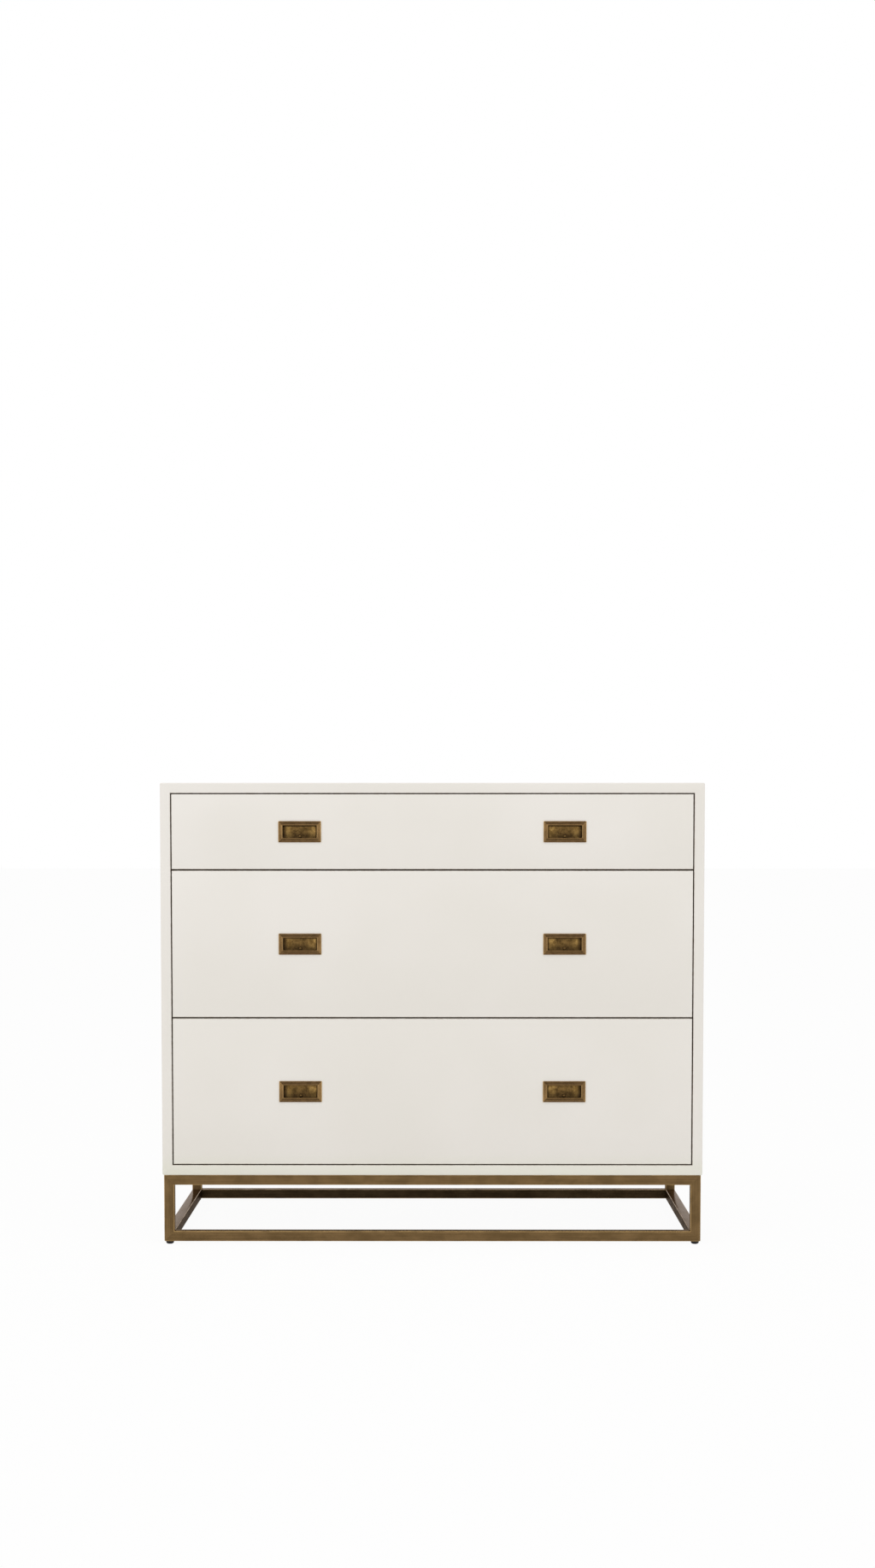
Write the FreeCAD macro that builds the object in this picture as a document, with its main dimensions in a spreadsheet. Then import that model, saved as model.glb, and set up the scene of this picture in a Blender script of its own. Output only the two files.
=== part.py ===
import FreeCAD, Part

import math
import os

import Sketcher
from types import SimpleNamespace

# Campaign chest: a lacquered case with three inset drawers on an open base of square tube.
# Millimetres. +X is to the right, +Y to the back, +Z up; the drawers open towards -Y.
# The origin is on the floor, under the centre of the case.

SIZES = {
    # case
    "case_width": 1016.0,
    "case_depth": 508.0,
    "case_height": 737.0,
    "panel_thickness": 19.0,
    "case_corner_radius": 3.0,
    "lacquer_edge_radius": 1.0,
    "back_thickness": 6.0,
    "back_inset": 2.0,
    "rebate_width": 9.0,
    "back_clearance": 0.5,
    "stretcher_thickness": 18.0,
    "stretcher_depth": 60.0,
    "stretcher_setback": 1.5,
    # drawer fronts
    "front_gap": 2.0,
    "drawer_gap": 2.8,
    "front_thickness": 19.0,
    "top_front_height": 140.0,
    # drawer boxes
    "box_depth": 450.0,
    "box_wall": 12.0,
    "box_clearance": 4.0,
    "box_edge_radius": 2.0,
    "dado_depth": 6.0,
    "bottom_thickness": 6.0,
    "bottom_rise": 10.0,
    "groove_depth": 5.0,
    "groove_clearance": 0.25,
    # telescopic slides
    "slide_space": 12.7,
    "slide_length": 450.0,
    "slide_setback": 3.0,
    "slide_height": 45.0,
    "slide_above_box": 45.0,
    "slide_steel": 1.2,
    "slide_running_gap": 0.3,
    "slide_head_room": 1.6,
    "slide_lip": 3.0,
    # pulls
    "pull_width": 80.0,
    "pull_height": 39.5,
    "pull_spacing": 495.0,
    "pull_corner_radius": 0.8,
    "pull_outer_band": 3.4,
    "pull_border": 8.0,
    "pull_lip_width": 1.8,
    "pull_band_rise": 1.6,
    "pull_groove_rise": 0.9,
    "pull_lip_rise": 2.1,
    "pull_lip_thickness": 1.5,
    "pull_undercut": 1.5,
    "pull_cup_depth": 10.5,
    "pull_cup_wall": 2.0,
    "pull_cup_corner": 6.0,
    "pull_cup_scoop": 5.0,
    "pull_fit": 0.5,
    "pull_edge_radius": 0.5,
    "pull_boss_diameter": 5.5,
    "pull_boss_rise": 3.4,
    "pull_boss_inset": 3.15,
    "pull_boss_edge_radius": 1.3,
    "pull_stud_diameter": 4.0,
    "pull_stud_inset": 10.0,
    "pull_stud_end": 5.0,
    "nut_across_flats": 8.0,
    "nut_thickness": 3.5,
    # base of square tube
    "base_height": 126.0,
    "base_inset": 2.5,
    "tube_size": 19.0,
    "tube_wall": 1.6,
    "tube_edge_radius": 1.1,
    # glides
    "glide_diameter": 15.0,
    "glide_height": 6.0,
    "glide_sole_diameter": 9.0,
    "glide_shoulder": 2.2,
    "stud_diameter": 8.0,
    "stud_length": 24.0,
    "weld_nut_width": 13.0,
    "weld_nut_thickness": 8.0,
    # fasteners and running clearances
    "thread_clearance": 0.05,
    "hole_clearance": 0.3,
    "base_bolt_diameter": 6.0,
    "base_bolt_head": 12.0,
    "base_bolt_head_height": 4.0,
    "base_bolt_head_edge": 1.2,
    "base_bolt_socket": 4.0,
    "base_bolt_socket_depth": 2.0,
    "base_bolt_grip": 12.0,
    "base_bolt_margin": 200.0,
    "back_screw_diameter": 3.5,
    "back_screw_head": 7.0,
    "back_screw_head_height": 1.5,
    "back_screw_grip": 12.0,
    "back_screw_margin": 39.0,
    "slide_screw_diameter": 3.5,
    "slide_screw_head": 7.5,
    "slide_screw_head_height": 1.3,
    "slide_screw_grip": 13.0,
    "slide_screw_margin": 35.0,
}

DRAWERS = ("top", "middle", "bottom")
SIDES = {"left": -1, "right": 1}
ENDS = {"front": -1, "rear": 1}
HALF_TURN = math.sqrt(0.5)
PICK_TOLERANCE = 1e-4


class Size:
    """A length: its value, and the expression that keeps a feature bound to the sheet."""

    def __init__(self, value, formula):
        self.value = float(value)
        self.formula = formula

    def __add__(self, other):
        other = as_size(other)
        return Size(self.value + other.value, f"({self.formula} + {other.formula})")

    def __sub__(self, other):
        other = as_size(other)
        return Size(self.value - other.value, f"({self.formula} - {other.formula})")

    def __mul__(self, other):
        other = as_size(other)
        return Size(self.value * other.value, f"({self.formula} * {other.formula})")

    def __truediv__(self, other):
        other = as_size(other)
        return Size(self.value / other.value, f"({self.formula} / {other.formula})")

    def __neg__(self):
        return Size(-self.value, f"(-1 * {self.formula})")

    __rmul__ = __mul__
    __radd__ = __add__


def as_size(item):
    """The item as a Size, so that plain numbers and named sizes mix."""
    if isinstance(item, Size):
        return item
    return Size(item, f"({float(item)!r})")


ZERO = as_size(0.0)


def make_sheet(document):
    """Write the driving dimensions to a spreadsheet and hand them back as named Sizes."""
    sheet = document.addObject("Spreadsheet::Sheet", "Sizes")
    for row, (name, value) in enumerate(SIZES.items(), start=1):
        sheet.set(f"A{row}", name)
        sheet.set(f"B{row}", str(value))
        sheet.setAlias(f"B{row}", name)
    document.recompute()
    return SimpleNamespace(**{name: Size(value, f"Sizes.{name}") for name, value in SIZES.items()})


document = FreeCAD.newDocument("campaign_chest")
dim = make_sheet(document)


# Drawing helpers

def fix_point(sketch, geometry, point, x, y):
    """Hold a sketch point at a bound distance from the sketch's origin."""
    for kind, distance in (("DistanceX", as_size(x)), ("DistanceY", as_size(y))):
        constraint = Sketcher.Constraint(kind, -1, 1, geometry, point, distance.value)
        index = sketch.addConstraint(constraint)
        sketch.setExpression(f"Constraints[{index}]", distance.formula)


def fix_radius(sketch, geometry, radius):
    """Bind the radius of a circle or an arc."""
    radius = as_size(radius)
    index = sketch.addConstraint(Sketcher.Constraint("Radius", geometry, radius.value))
    sketch.setExpression(f"Constraints[{index}]", radius.formula)


def arc_between(start, end, radius, turn):
    """The short arc from start to end; turn is 1 to the left and -1 to the right."""
    chord = end - start
    reach = math.sqrt(max(radius ** 2 - (chord.Length / 2) ** 2, 0.0))
    across = FreeCAD.Vector(-chord.y, chord.x, 0).normalize() * (turn * reach)
    centre = (start + end) / 2 + across
    first = math.atan2(start.y - centre.y, start.x - centre.x)
    last = math.atan2(end.y - centre.y, end.x - centre.x)
    if turn < 0:
        first, last = last, first
    circle = Part.Circle(centre, FreeCAD.Vector(0, 0, 1), radius)
    return Part.ArcOfCircle(circle, first, last)


class Outline:
    """A closed loop of corners (x, y), each reached by a line or by an arc of a given radius."""

    def __init__(self, *corners):
        self.corners = [(as_size(x), as_size(y), *rest) for x, y, *rest in corners]

    def draw(self, sketch):
        first = sketch.GeometryCount
        count = len(self.corners)
        spots = [FreeCAD.Vector(corner[0].value, corner[1].value, 0) for corner in self.corners]
        starts = []
        ends = []
        for index in range(count):
            after = (index + 1) % count
            arc = self.corners[after][2:]
            if arc:
                radius, turn = as_size(arc[0]), arc[1]
                sketch.addGeometry(arc_between(spots[index], spots[after], radius.value, turn))
                starts.append(1 if turn > 0 else 2)
                ends.append(2 if turn > 0 else 1)
            else:
                sketch.addGeometry(Part.LineSegment(spots[index], spots[after]))
                starts.append(1)
                ends.append(2)
        for index in range(count):
            after = (index + 1) % count
            joint = Sketcher.Constraint("Coincident", first + index, ends[index],
                                        first + after, starts[after])
            sketch.addConstraint(joint)
        for index, corner in enumerate(self.corners):
            fix_point(sketch, first + index, starts[index], *corner[:2])
            arc = self.corners[(index + 1) % count][2:]
            if arc:
                fix_radius(sketch, first + index, arc[0])


class Circle:
    """A circle at (x, y)."""

    def __init__(self, x, y, radius):
        self.x, self.y, self.radius = x, y, radius

    def draw(self, sketch):
        centre = FreeCAD.Vector(as_size(self.x).value, as_size(self.y).value, 0)
        circle = Part.Circle(centre, FreeCAD.Vector(0, 0, 1), as_size(self.radius).value)
        geometry = sketch.addGeometry(circle)
        fix_point(sketch, geometry, 3, self.x, self.y)
        fix_radius(sketch, geometry, self.radius)


def rectangle(left, bottom, right, top):
    """A rectangle between two opposite corners."""
    return Outline((left, bottom), (right, bottom), (right, top), (left, top))


def rounded_rectangle(half_width, half_height, radius, centre=(ZERO, ZERO)):
    """A rectangle with four round corners, about its centre."""
    x, y = as_size(half_width), as_size(half_height)
    near_x, near_y = x - radius, y - radius
    middle_x, middle_y = as_size(centre[0]), as_size(centre[1])
    corners = [(-near_x, -y, radius, 1), (near_x, -y), (x, -near_y, radius, 1), (x, near_y),
               (near_x, y, radius, 1), (-near_x, y), (-x, near_y, radius, 1), (-x, -near_y)]
    return Outline(*[(middle_x + along, middle_y + up, *rest) for along, up, *rest in corners])


def hexagon(x, y, across_flats):
    """A hexagon with two of its corners level with its centre."""
    x, y = as_size(x), as_size(y)
    corner = as_size(across_flats) / math.sqrt(3)
    turns = [math.radians(60 * step) for step in range(6)]
    return Outline(*[(x + corner * math.cos(turn), y + corner * math.sin(turn)) for turn in turns])


# Which way each origin plane's own normal points along the axis that it faces
NORMAL = {"XY_Plane": 1, "XZ_Plane": -1, "YZ_Plane": 1}


class Piece:
    """A sub-part's body, with the few operations that shape it."""

    made = []

    def __init__(self, label):
        self.body = document.addObject("PartDesign::Body", label)
        self.body.Label = label
        self.steps = 0
        Piece.made.append(self)

    def sketch(self, plane, at, shapes):
        """Draw closed shapes on an origin plane, moved along its axis to the place at."""
        self.steps += 1
        sketch = self.body.newObject("Sketcher::SketchObject", f"{self.body.Name}_sketch_{self.steps}")
        support = next(part for part in self.body.Origin.OriginFeatures if part.Role == plane)
        sketch.AttachmentSupport = [(support, "")]
        sketch.MapMode = "FlatFace"
        sketch.setExpression("AttachmentOffset.Base.z", (as_size(at) * NORMAL[plane]).formula)
        for shape in shapes:
            shape.draw(sketch)
        return sketch

    def feature(self, kind, sketch):
        feature = self.body.newObject(f"PartDesign::{kind}", f"{self.body.Name}_{kind}_{self.steps}")
        feature.Profile = sketch
        return feature

    def pad(self, plane, at, length, *shapes, toward=1):
        """Raise shapes into a solid; toward 0 grows it both ways, 1 and -1 along the axis."""
        feature = self.feature("Pad", self.sketch(plane, at, shapes))
        feature.setExpression("Length", as_size(length).formula)
        if toward == 0:
            feature.SideType = "Symmetric"
        else:
            feature.Reversed = toward != NORMAL[plane]
        return self

    def pocket(self, plane, at, length, *shapes, toward=1):
        """Cut shapes out of the solid; toward 0 cuts right through both ways."""
        feature = self.feature("Pocket", self.sketch(plane, at, shapes))
        if toward == 0:
            feature.SideType = "Symmetric"
            feature.Type = "ThroughAll"
        else:
            feature.Reversed = toward == NORMAL[plane]
            feature.setExpression("Length", as_size(length).formula)
        return self

    def revolve(self, *shapes):
        """Turn shapes drawn on the XZ plane about the body's own Z axis."""
        feature = self.feature("Revolution", self.sketch("XZ_Plane", ZERO, shapes))
        feature.ReferenceAxis = (feature.Profile[0], ["V_Axis"])
        feature.Angle = 360
        return self

    def fillet(self, radius, *places):
        """Round the edges that lie at each place, given as the x, y or z that they keep to."""
        document.recompute()
        base = self.body.Tip
        names = []
        for index, edge in enumerate(base.Shape.Edges, start=1):
            if any(lies_at(edge.BoundBox, place) for place in places):
                names.append(f"Edge{index}")
        feature = self.body.newObject("PartDesign::Fillet", f"{self.body.Name}_Fillet_{self.steps}")
        feature.Base = (base, names)
        feature.setExpression("Radius", as_size(radius).formula)
        return self

    def place(self, x=ZERO, y=ZERO, z=ZERO):
        """Put the body where it belongs in the chest."""
        for axis, distance in (("x", x), ("y", y), ("z", z)):
            self.body.setExpression(f"Placement.Base.{axis}", as_size(distance).formula)
        return self


def lies_at(box, place):
    """Whether a box is flat and in place on every axis that the place names."""
    for axis, distance in place.items():
        low, high = getattr(box, f"{axis.upper()}Min"), getattr(box, f"{axis.upper()}Max")
        target = as_size(distance).value
        if abs(low - target) > PICK_TOLERANCE or abs(high - target) > PICK_TOLERANCE:
            return False
    return True


# Places that several sub-parts share

case_bottom = dim.glide_height + dim.base_height
case_middle = case_bottom + dim.case_height / 2
case_front = -dim.case_depth / 2
case_rear = dim.case_depth / 2
inner_half_width = dim.case_width / 2 - dim.panel_thickness
inner_half_height = dim.case_height / 2 - dim.panel_thickness
rebate_depth = dim.back_thickness + dim.back_inset
rebate_face = case_rear - rebate_depth
screw_line = dim.rebate_width / 2
back_screw_columns = [(inner_half_width - dim.back_screw_margin) * step / 2
                      for step in (-2, -1, 0, 1, 2)]
back_screw_rows = [(inner_half_height - dim.back_screw_margin) * step / 3
                   for step in (-3, -1, 1, 3)]

low_front_height = inner_half_height - dim.front_gap - dim.drawer_gap - dim.top_front_height / 2
front_height = {"top": dim.top_front_height, "middle": low_front_height, "bottom": low_front_height}
front_bottom = {"bottom": case_bottom + dim.panel_thickness + dim.front_gap}
front_bottom["middle"] = front_bottom["bottom"] + low_front_height + dim.drawer_gap
front_bottom["top"] = front_bottom["middle"] + low_front_height + dim.drawer_gap
front_half_width = inner_half_width - dim.front_gap
front_back = case_front + dim.front_thickness

box_reveal = (dim.stretcher_thickness - dim.drawer_gap) / 2 + dim.box_clearance
box_half_width = inner_half_width - dim.slide_space
box_inner_half = box_half_width - dim.box_wall
box_height = {name: front_height[name] - box_reveal * 2 for name in DRAWERS}
box_bottom = {name: front_bottom[name] + box_reveal for name in DRAWERS}
slide_middle = {name: box_bottom[name] + dim.slide_above_box for name in DRAWERS}
slide_front = front_back + dim.slide_setback
slide_screw_reach = dim.slide_length / 2 - dim.slide_screw_margin
slide_screw_places = [slide_front + dim.slide_length / 2 + slide_screw_reach * step
                      for step in (-1, 0, 1)]

frame_half_width = dim.case_width / 2 - dim.base_inset
frame_half_depth = dim.case_depth / 2 - dim.base_inset
half_tube = dim.tube_size / 2
tube_line = {"x": frame_half_width - half_tube, "y": frame_half_depth - half_tube}
bolt_line = dim.case_width / 2 - dim.base_bolt_margin

pull_centres = [dim.pull_spacing / 2 * side for side in SIDES.values()]
pull_opening = {"width": dim.pull_width - dim.pull_border * 2,
                "height": dim.pull_height - dim.pull_border * 2}
stud_line = pull_opening["width"] / 2 - dim.pull_stud_inset
stud_places = [centre + stud_line * side for centre in pull_centres for side in SIDES.values()]


# Case

def back_screw_spots():
    """Where the back panel's screws sit, from its centre."""
    high = inner_half_height + screw_line
    wide = inner_half_width + screw_line
    spots = [(x, high * up) for x in back_screw_columns for up in (-1, 1)]
    spots += [(wide * side, z) for z in back_screw_rows for side in SIDES.values()]
    return spots


def screw_pilots(piece, spots):
    """Blind holes for the back panel's screws, in the face of the rebate."""
    radius = dim.back_screw_diameter / 2 + dim.thread_clearance
    depth = dim.back_screw_grip + dim.hole_clearance
    piece.pocket("XZ_Plane", rebate_face, depth, *[Circle(x, z, radius) for x, z in spots],
                 toward=-1)


def level_panel(label, up):
    """The top (up 1) or the bottom (up -1), mitred at both ends; z 0 is its outer face."""
    half = dim.case_width / 2
    thickness = dim.panel_thickness
    radius = dim.case_corner_radius
    nip = radius * (1 - HALF_TURN)
    panel = Piece(label)
    profile = Outline((-half + nip, nip * -up), (-half + radius, ZERO, radius, -up),
                      (half - radius, ZERO), (half - nip, nip * -up, radius, -up),
                      (half - thickness, thickness * -up), (-half + thickness, thickness * -up))
    panel.pad("XZ_Plane", ZERO, dim.case_depth, profile, toward=0)
    inner = thickness * -up
    panel.pocket("YZ_Plane", ZERO, None,
                 rectangle(rebate_face, inner, case_rear + thickness,
                           (thickness - dim.rebate_width) * -up), toward=0)
    panel.fillet(dim.lacquer_edge_radius, {"y": case_front, "z": ZERO},
                 {"y": case_front, "z": inner}, {"y": case_rear, "z": ZERO})
    line = (thickness - screw_line) * -up
    screw_pilots(panel, [(x, line) for x in back_screw_columns])
    return panel


def side_panel(label, side):
    """A side, mitred at both ends; x 0 is its outer face and z 0 its middle."""
    half = dim.case_height / 2
    thickness = dim.panel_thickness
    radius = dim.case_corner_radius
    nip = radius * (1 - HALF_TURN)
    inner = thickness * -side
    panel = Piece(label)
    profile = Outline((nip * -side, -half + nip), (ZERO, -half + radius, radius, side),
                      (ZERO, half - radius), (nip * -side, half - nip, radius, side),
                      (inner, half - thickness), (inner, -half + thickness))
    panel.pad("XZ_Plane", ZERO, dim.case_depth, profile, toward=0)
    panel.pocket("XY_Plane", ZERO, None,
                 rectangle(inner, rebate_face, (thickness - dim.rebate_width) * -side,
                           case_rear + thickness), toward=0)
    panel.fillet(dim.lacquer_edge_radius, {"y": case_front, "x": ZERO},
                 {"y": case_front, "x": inner}, {"y": case_rear, "x": ZERO})
    line = (thickness - screw_line) * -side
    screw_pilots(panel, [(line, z) for z in back_screw_rows])
    radius = dim.slide_screw_diameter / 2 + dim.thread_clearance
    holes = [Circle(y, slide_middle[name] - case_middle, radius)
             for name in DRAWERS for y in slide_screw_places]
    panel.pocket("YZ_Plane", inner, dim.slide_screw_grip + dim.hole_clearance, *holes, toward=side)
    return panel


def make_case():
    """The lacquered case, its back and the stretchers between the drawers."""
    level_panel("top_panel", 1).place(z=case_bottom + dim.case_height)
    bottom = level_panel("bottom_panel", -1).place(z=case_bottom)
    radius = dim.base_bolt_diameter / 2 + dim.thread_clearance
    pilots = [Circle(x, y, radius) for x, y in base_bolt_spots()]
    bottom.pocket("XY_Plane", ZERO, dim.base_bolt_grip + dim.hole_clearance, *pilots)
    for name, side in SIDES.items():
        panel = side_panel(f"{name}_side_panel", side)
        panel.place(x=dim.case_width / 2 * side, z=case_middle)

    back = Piece("back_panel").place(y=rebate_face, z=case_middle)
    wide = inner_half_width + dim.rebate_width - dim.back_clearance
    high = inner_half_height + dim.rebate_width - dim.back_clearance
    back.pad("XZ_Plane", ZERO, dim.back_thickness, rectangle(-wide, -high, wide, high))
    hole = dim.back_screw_diameter / 2 + dim.hole_clearance
    back.pocket("XZ_Plane", ZERO, None, *[Circle(x, z, hole) for x, z in back_screw_spots()],
                toward=0)

    screws = Piece("back_panel_screws").place(y=rebate_face, z=case_middle)
    heads = [Circle(x, z, dim.back_screw_head / 2) for x, z in back_screw_spots()]
    shanks = [Circle(x, z, dim.back_screw_diameter / 2) for x, z in back_screw_spots()]
    screws.pad("XZ_Plane", dim.back_thickness, dim.back_screw_head_height, *heads)
    screws.pad("XZ_Plane", dim.back_thickness, dim.back_thickness + dim.back_screw_grip, *shanks,
               toward=-1)

    for name, above in (("upper_stretcher", "top"), ("lower_stretcher", "middle")):
        stretcher = Piece(name)
        half = dim.stretcher_thickness / 2
        stretcher.pad("XZ_Plane", ZERO, dim.stretcher_depth,
                      rectangle(-inner_half_width, -half, inner_half_width, half))
        stretcher.fillet(dim.lacquer_edge_radius, {"y": ZERO, "z": half}, {"y": ZERO, "z": -half})
        stretcher.place(y=front_back + dim.stretcher_setback,
                        z=front_bottom[above] - dim.drawer_gap / 2)


# Base of square tube

def tube_section():
    """A hollow square with rounded outer edges."""
    bore = half_tube - dim.tube_wall
    return [rounded_rectangle(half_tube, half_tube, dim.tube_edge_radius),
            rectangle(-bore, -bore, bore, bore)]


def mitre(outer_x, outer_z, along, across):
    """A wedge that cuts a tube's end at 45 degrees through its outer corner."""
    size = dim.tube_size
    return Outline((outer_x - size * along[0] - size * across[0],
                    outer_z - size * along[1] - size * across[1]),
                   (outer_x - size * along[0] + size * 2 * across[0],
                    outer_z - size * along[1] + size * 2 * across[1]),
                   (outer_x + size * 2 * along[0] + size * 2 * across[0],
                    outer_z + size * 2 * along[1] + size * 2 * across[1]))


def cross_rail(label, up, hole_line, lower_hole, upper_hole=None):
    """A rail along X, mitred to the legs; up 1 is an upper rail and -1 a lower one.

    Each hole is drilled through one wall, at hole_line on both sides of the middle.
    """
    rail = Piece(label)
    rail.pad("YZ_Plane", ZERO, frame_half_width * 2, *tube_section(), toward=0)
    wedges = [mitre(frame_half_width * end, half_tube * up, (-end, 0), (0, -up))
              for end in (-1, 1)]
    rail.pocket("XZ_Plane", ZERO, None, *wedges, toward=0)
    for radius, face in ((lower_hole, -1), (upper_hole, 1)):
        if radius is not None:
            holes = [Circle(hole_line * side, ZERO, radius) for side in SIDES.values()]
            rail.pocket("XY_Plane", half_tube * face, dim.tube_wall * 2, *holes, toward=-face)
    return rail


def make_base():
    """Two mitred rectangles of tube, joined front to back by four rails."""
    upper = dim.glide_height + dim.base_height - half_tube
    lower = dim.glide_height + half_tube
    for place, end in ENDS.items():
        rail = cross_rail(f"{place}_upper_rail", 1, bolt_line,
                          dim.base_bolt_head / 2 + dim.hole_clearance,
                          dim.base_bolt_diameter / 2 + dim.hole_clearance)
        rail.place(y=tube_line["y"] * end, z=upper)
        rail = cross_rail(f"{place}_lower_rail", -1, tube_line["x"],
                          dim.stud_diameter / 2 + dim.hole_clearance)
        rail.place(y=tube_line["y"] * end, z=lower)
        for name, side in SIDES.items():
            leg = Piece(f"{place}_{name}_leg")
            leg.pad("XY_Plane", ZERO, dim.base_height, *tube_section(), toward=0)
            wedges = [mitre(half_tube * side, dim.base_height / 2 * tip, (0, -tip), (-side, 0))
                      for tip in (-1, 1)]
            leg.pocket("XZ_Plane", ZERO, None, *wedges, toward=0)
            leg.place(tube_line["x"] * side, tube_line["y"] * end,
                      dim.glide_height + dim.base_height / 2)

    length = (frame_half_depth - dim.tube_size) * 2
    for name, side in SIDES.items():
        for level, z in (("upper", upper), ("lower", lower)):
            rail = Piece(f"{name}_{level}_rail").place(x=tube_line["x"] * side, z=z)
            rail.pad("XZ_Plane", ZERO, length, *tube_section(), toward=0)


def base_bolt_spots():
    """Where the bolts pass up through the front and rear upper rails."""
    return [(bolt_line * side, tube_line["y"] * end)
            for side in SIDES.values() for end in ENDS.values()]


def make_base_fasteners():
    """The bolts into the case, with their heads inside the rails, and the glides' weld nuts."""
    spots = base_bolt_spots()
    bolts = Piece("base_bolts").place(z=case_bottom - dim.tube_wall)
    bolts.pad("XY_Plane", ZERO, dim.base_bolt_head_height,
              *[Circle(x, y, dim.base_bolt_head / 2) for x, y in spots], toward=-1)
    bolts.pad("XY_Plane", ZERO, dim.tube_wall + dim.base_bolt_grip,
              *[Circle(x, y, dim.base_bolt_diameter / 2) for x, y in spots])
    bolts.fillet(dim.base_bolt_head_edge, {"z": -dim.base_bolt_head_height})
    bolts.pocket("XY_Plane", -dim.base_bolt_head_height, dim.base_bolt_socket_depth,
                 *[hexagon(x, y, dim.base_bolt_socket) for x, y in spots])

    nuts = Piece("glide_weld_nuts").place(z=dim.glide_height + dim.tube_wall)
    half = dim.weld_nut_width / 2
    bore = dim.stud_diameter / 2 + dim.thread_clearance
    shapes = []
    for x, y in glide_spots().values():
        shapes.append(rectangle(x - half, y - half, x + half, y + half))
        shapes.append(Circle(x, y, bore))
    nuts.pad("XY_Plane", ZERO, dim.weld_nut_thickness, *shapes)


def glide_spots():
    """The centre of each leg, by the name of its corner."""
    return {f"{place}_{name}": (tube_line["x"] * side, tube_line["y"] * end)
            for name, side in SIDES.items() for place, end in ENDS.items()}


def make_glides():
    """Four round glides, each moulded on a threaded stud that turns in a weld nut."""
    foot = dim.glide_diameter / 2
    sole = dim.glide_sole_diameter / 2
    stud = dim.stud_diameter / 2
    inward = foot - sole
    down = dim.glide_height - dim.glide_shoulder
    bulge = (inward * inward + down * down) / (inward * 2)
    for corner, (x, y) in glide_spots().items():
        glide = Piece(f"{corner}_glide").place(x, y, dim.glide_height)
        glide.revolve(Outline((ZERO, -dim.glide_height), (sole, -dim.glide_height),
                              (foot, -dim.glide_shoulder, bulge, 1), (foot, ZERO), (stud, ZERO),
                              (stud, dim.stud_length), (ZERO, dim.stud_length)))


# Drawers

def drawer_front(name):
    """A lacquered front; y 0 is its face and z 0 its lower edge."""
    height = front_height[name]
    front = Piece(f"{name}_drawer_front")
    front.pad("XZ_Plane", ZERO, dim.front_thickness,
              rectangle(-front_half_width, ZERO, front_half_width, height))
    front.fillet(dim.lacquer_edge_radius, {"y": ZERO})
    margin = dim.pull_undercut + dim.pull_cup_wall + dim.pull_fit
    corner = dim.pull_cup_corner + dim.pull_cup_wall + dim.pull_fit
    cups = [rounded_rectangle(pull_opening["width"] / 2 + margin,
                              pull_opening["height"] / 2 + margin, corner, (centre, height / 2))
            for centre in pull_centres]
    front.pocket("XZ_Plane", ZERO, dim.pull_cup_depth + dim.pull_cup_wall + dim.pull_fit, *cups)
    radius = dim.pull_stud_diameter / 2 + dim.hole_clearance
    front.pocket("XZ_Plane", ZERO, None, *[Circle(x, height / 2, radius) for x in stud_places],
                 toward=0)
    dadoes = [rectangle(box_inner_half * side, box_reveal, box_half_width * side,
                        height - box_reveal) for side in SIDES.values()]
    front.pocket("XZ_Plane", dim.front_thickness, dim.dado_depth, *dadoes, toward=-1)
    groove = rectangle(-box_inner_half, box_reveal + dim.bottom_rise, box_inner_half,
                       box_reveal + dim.bottom_rise + dim.bottom_thickness)
    front.pocket("XZ_Plane", dim.front_thickness, dim.groove_depth, groove, toward=-1)
    return front.place(y=case_front, z=front_bottom[name])


def drawer_side(name, side_name, side):
    """A side of a drawer box; x 0 is its outer face and y 0 the back of the front."""
    height = box_height[name]
    inner = dim.box_wall * -side
    rear = dim.box_depth
    board = Piece(f"{name}_drawer_{side_name}_side")
    board.pad("YZ_Plane", ZERO, dim.box_wall, rectangle(-dim.dado_depth, ZERO, rear, height),
              toward=-side)
    groove = rectangle(-dim.dado_depth, dim.bottom_rise,
                       rear - dim.box_wall + dim.groove_depth,
                       dim.bottom_rise + dim.bottom_thickness)
    board.pocket("YZ_Plane", inner, dim.groove_depth, groove, toward=side)
    board.fillet(dim.box_edge_radius, {"z": height, "x": ZERO}, {"z": height, "x": inner})
    return board.place(box_half_width * side, front_back, box_bottom[name])


def drawer_back(name):
    """The back of a drawer box, between its sides; y 0 is its inner face."""
    height = box_height[name]
    board = Piece(f"{name}_drawer_back")
    board.pad("XZ_Plane", ZERO, dim.box_wall,
              rectangle(-box_inner_half, ZERO, box_inner_half, height))
    groove = rectangle(-box_inner_half, dim.bottom_rise, box_inner_half,
                       dim.bottom_rise + dim.bottom_thickness)
    board.pocket("XZ_Plane", ZERO, dim.groove_depth, groove)
    board.fillet(dim.box_edge_radius, {"z": height, "y": ZERO}, {"z": height, "y": dim.box_wall})
    return board.place(y=front_back + dim.box_depth - dim.box_wall, z=box_bottom[name])


def drawer_bottom(name):
    """A thin bottom, held in grooves on all four sides."""
    tongue = dim.groove_depth - dim.groove_clearance
    half = box_inner_half + tongue
    board = Piece(f"{name}_drawer_bottom")
    board.pad("XY_Plane", ZERO, dim.bottom_thickness,
              rectangle(-half, -tongue, half, dim.box_depth - dim.box_wall + tongue))
    return board.place(y=front_back, z=box_bottom[name] + dim.bottom_rise)


# Pulls

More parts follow.
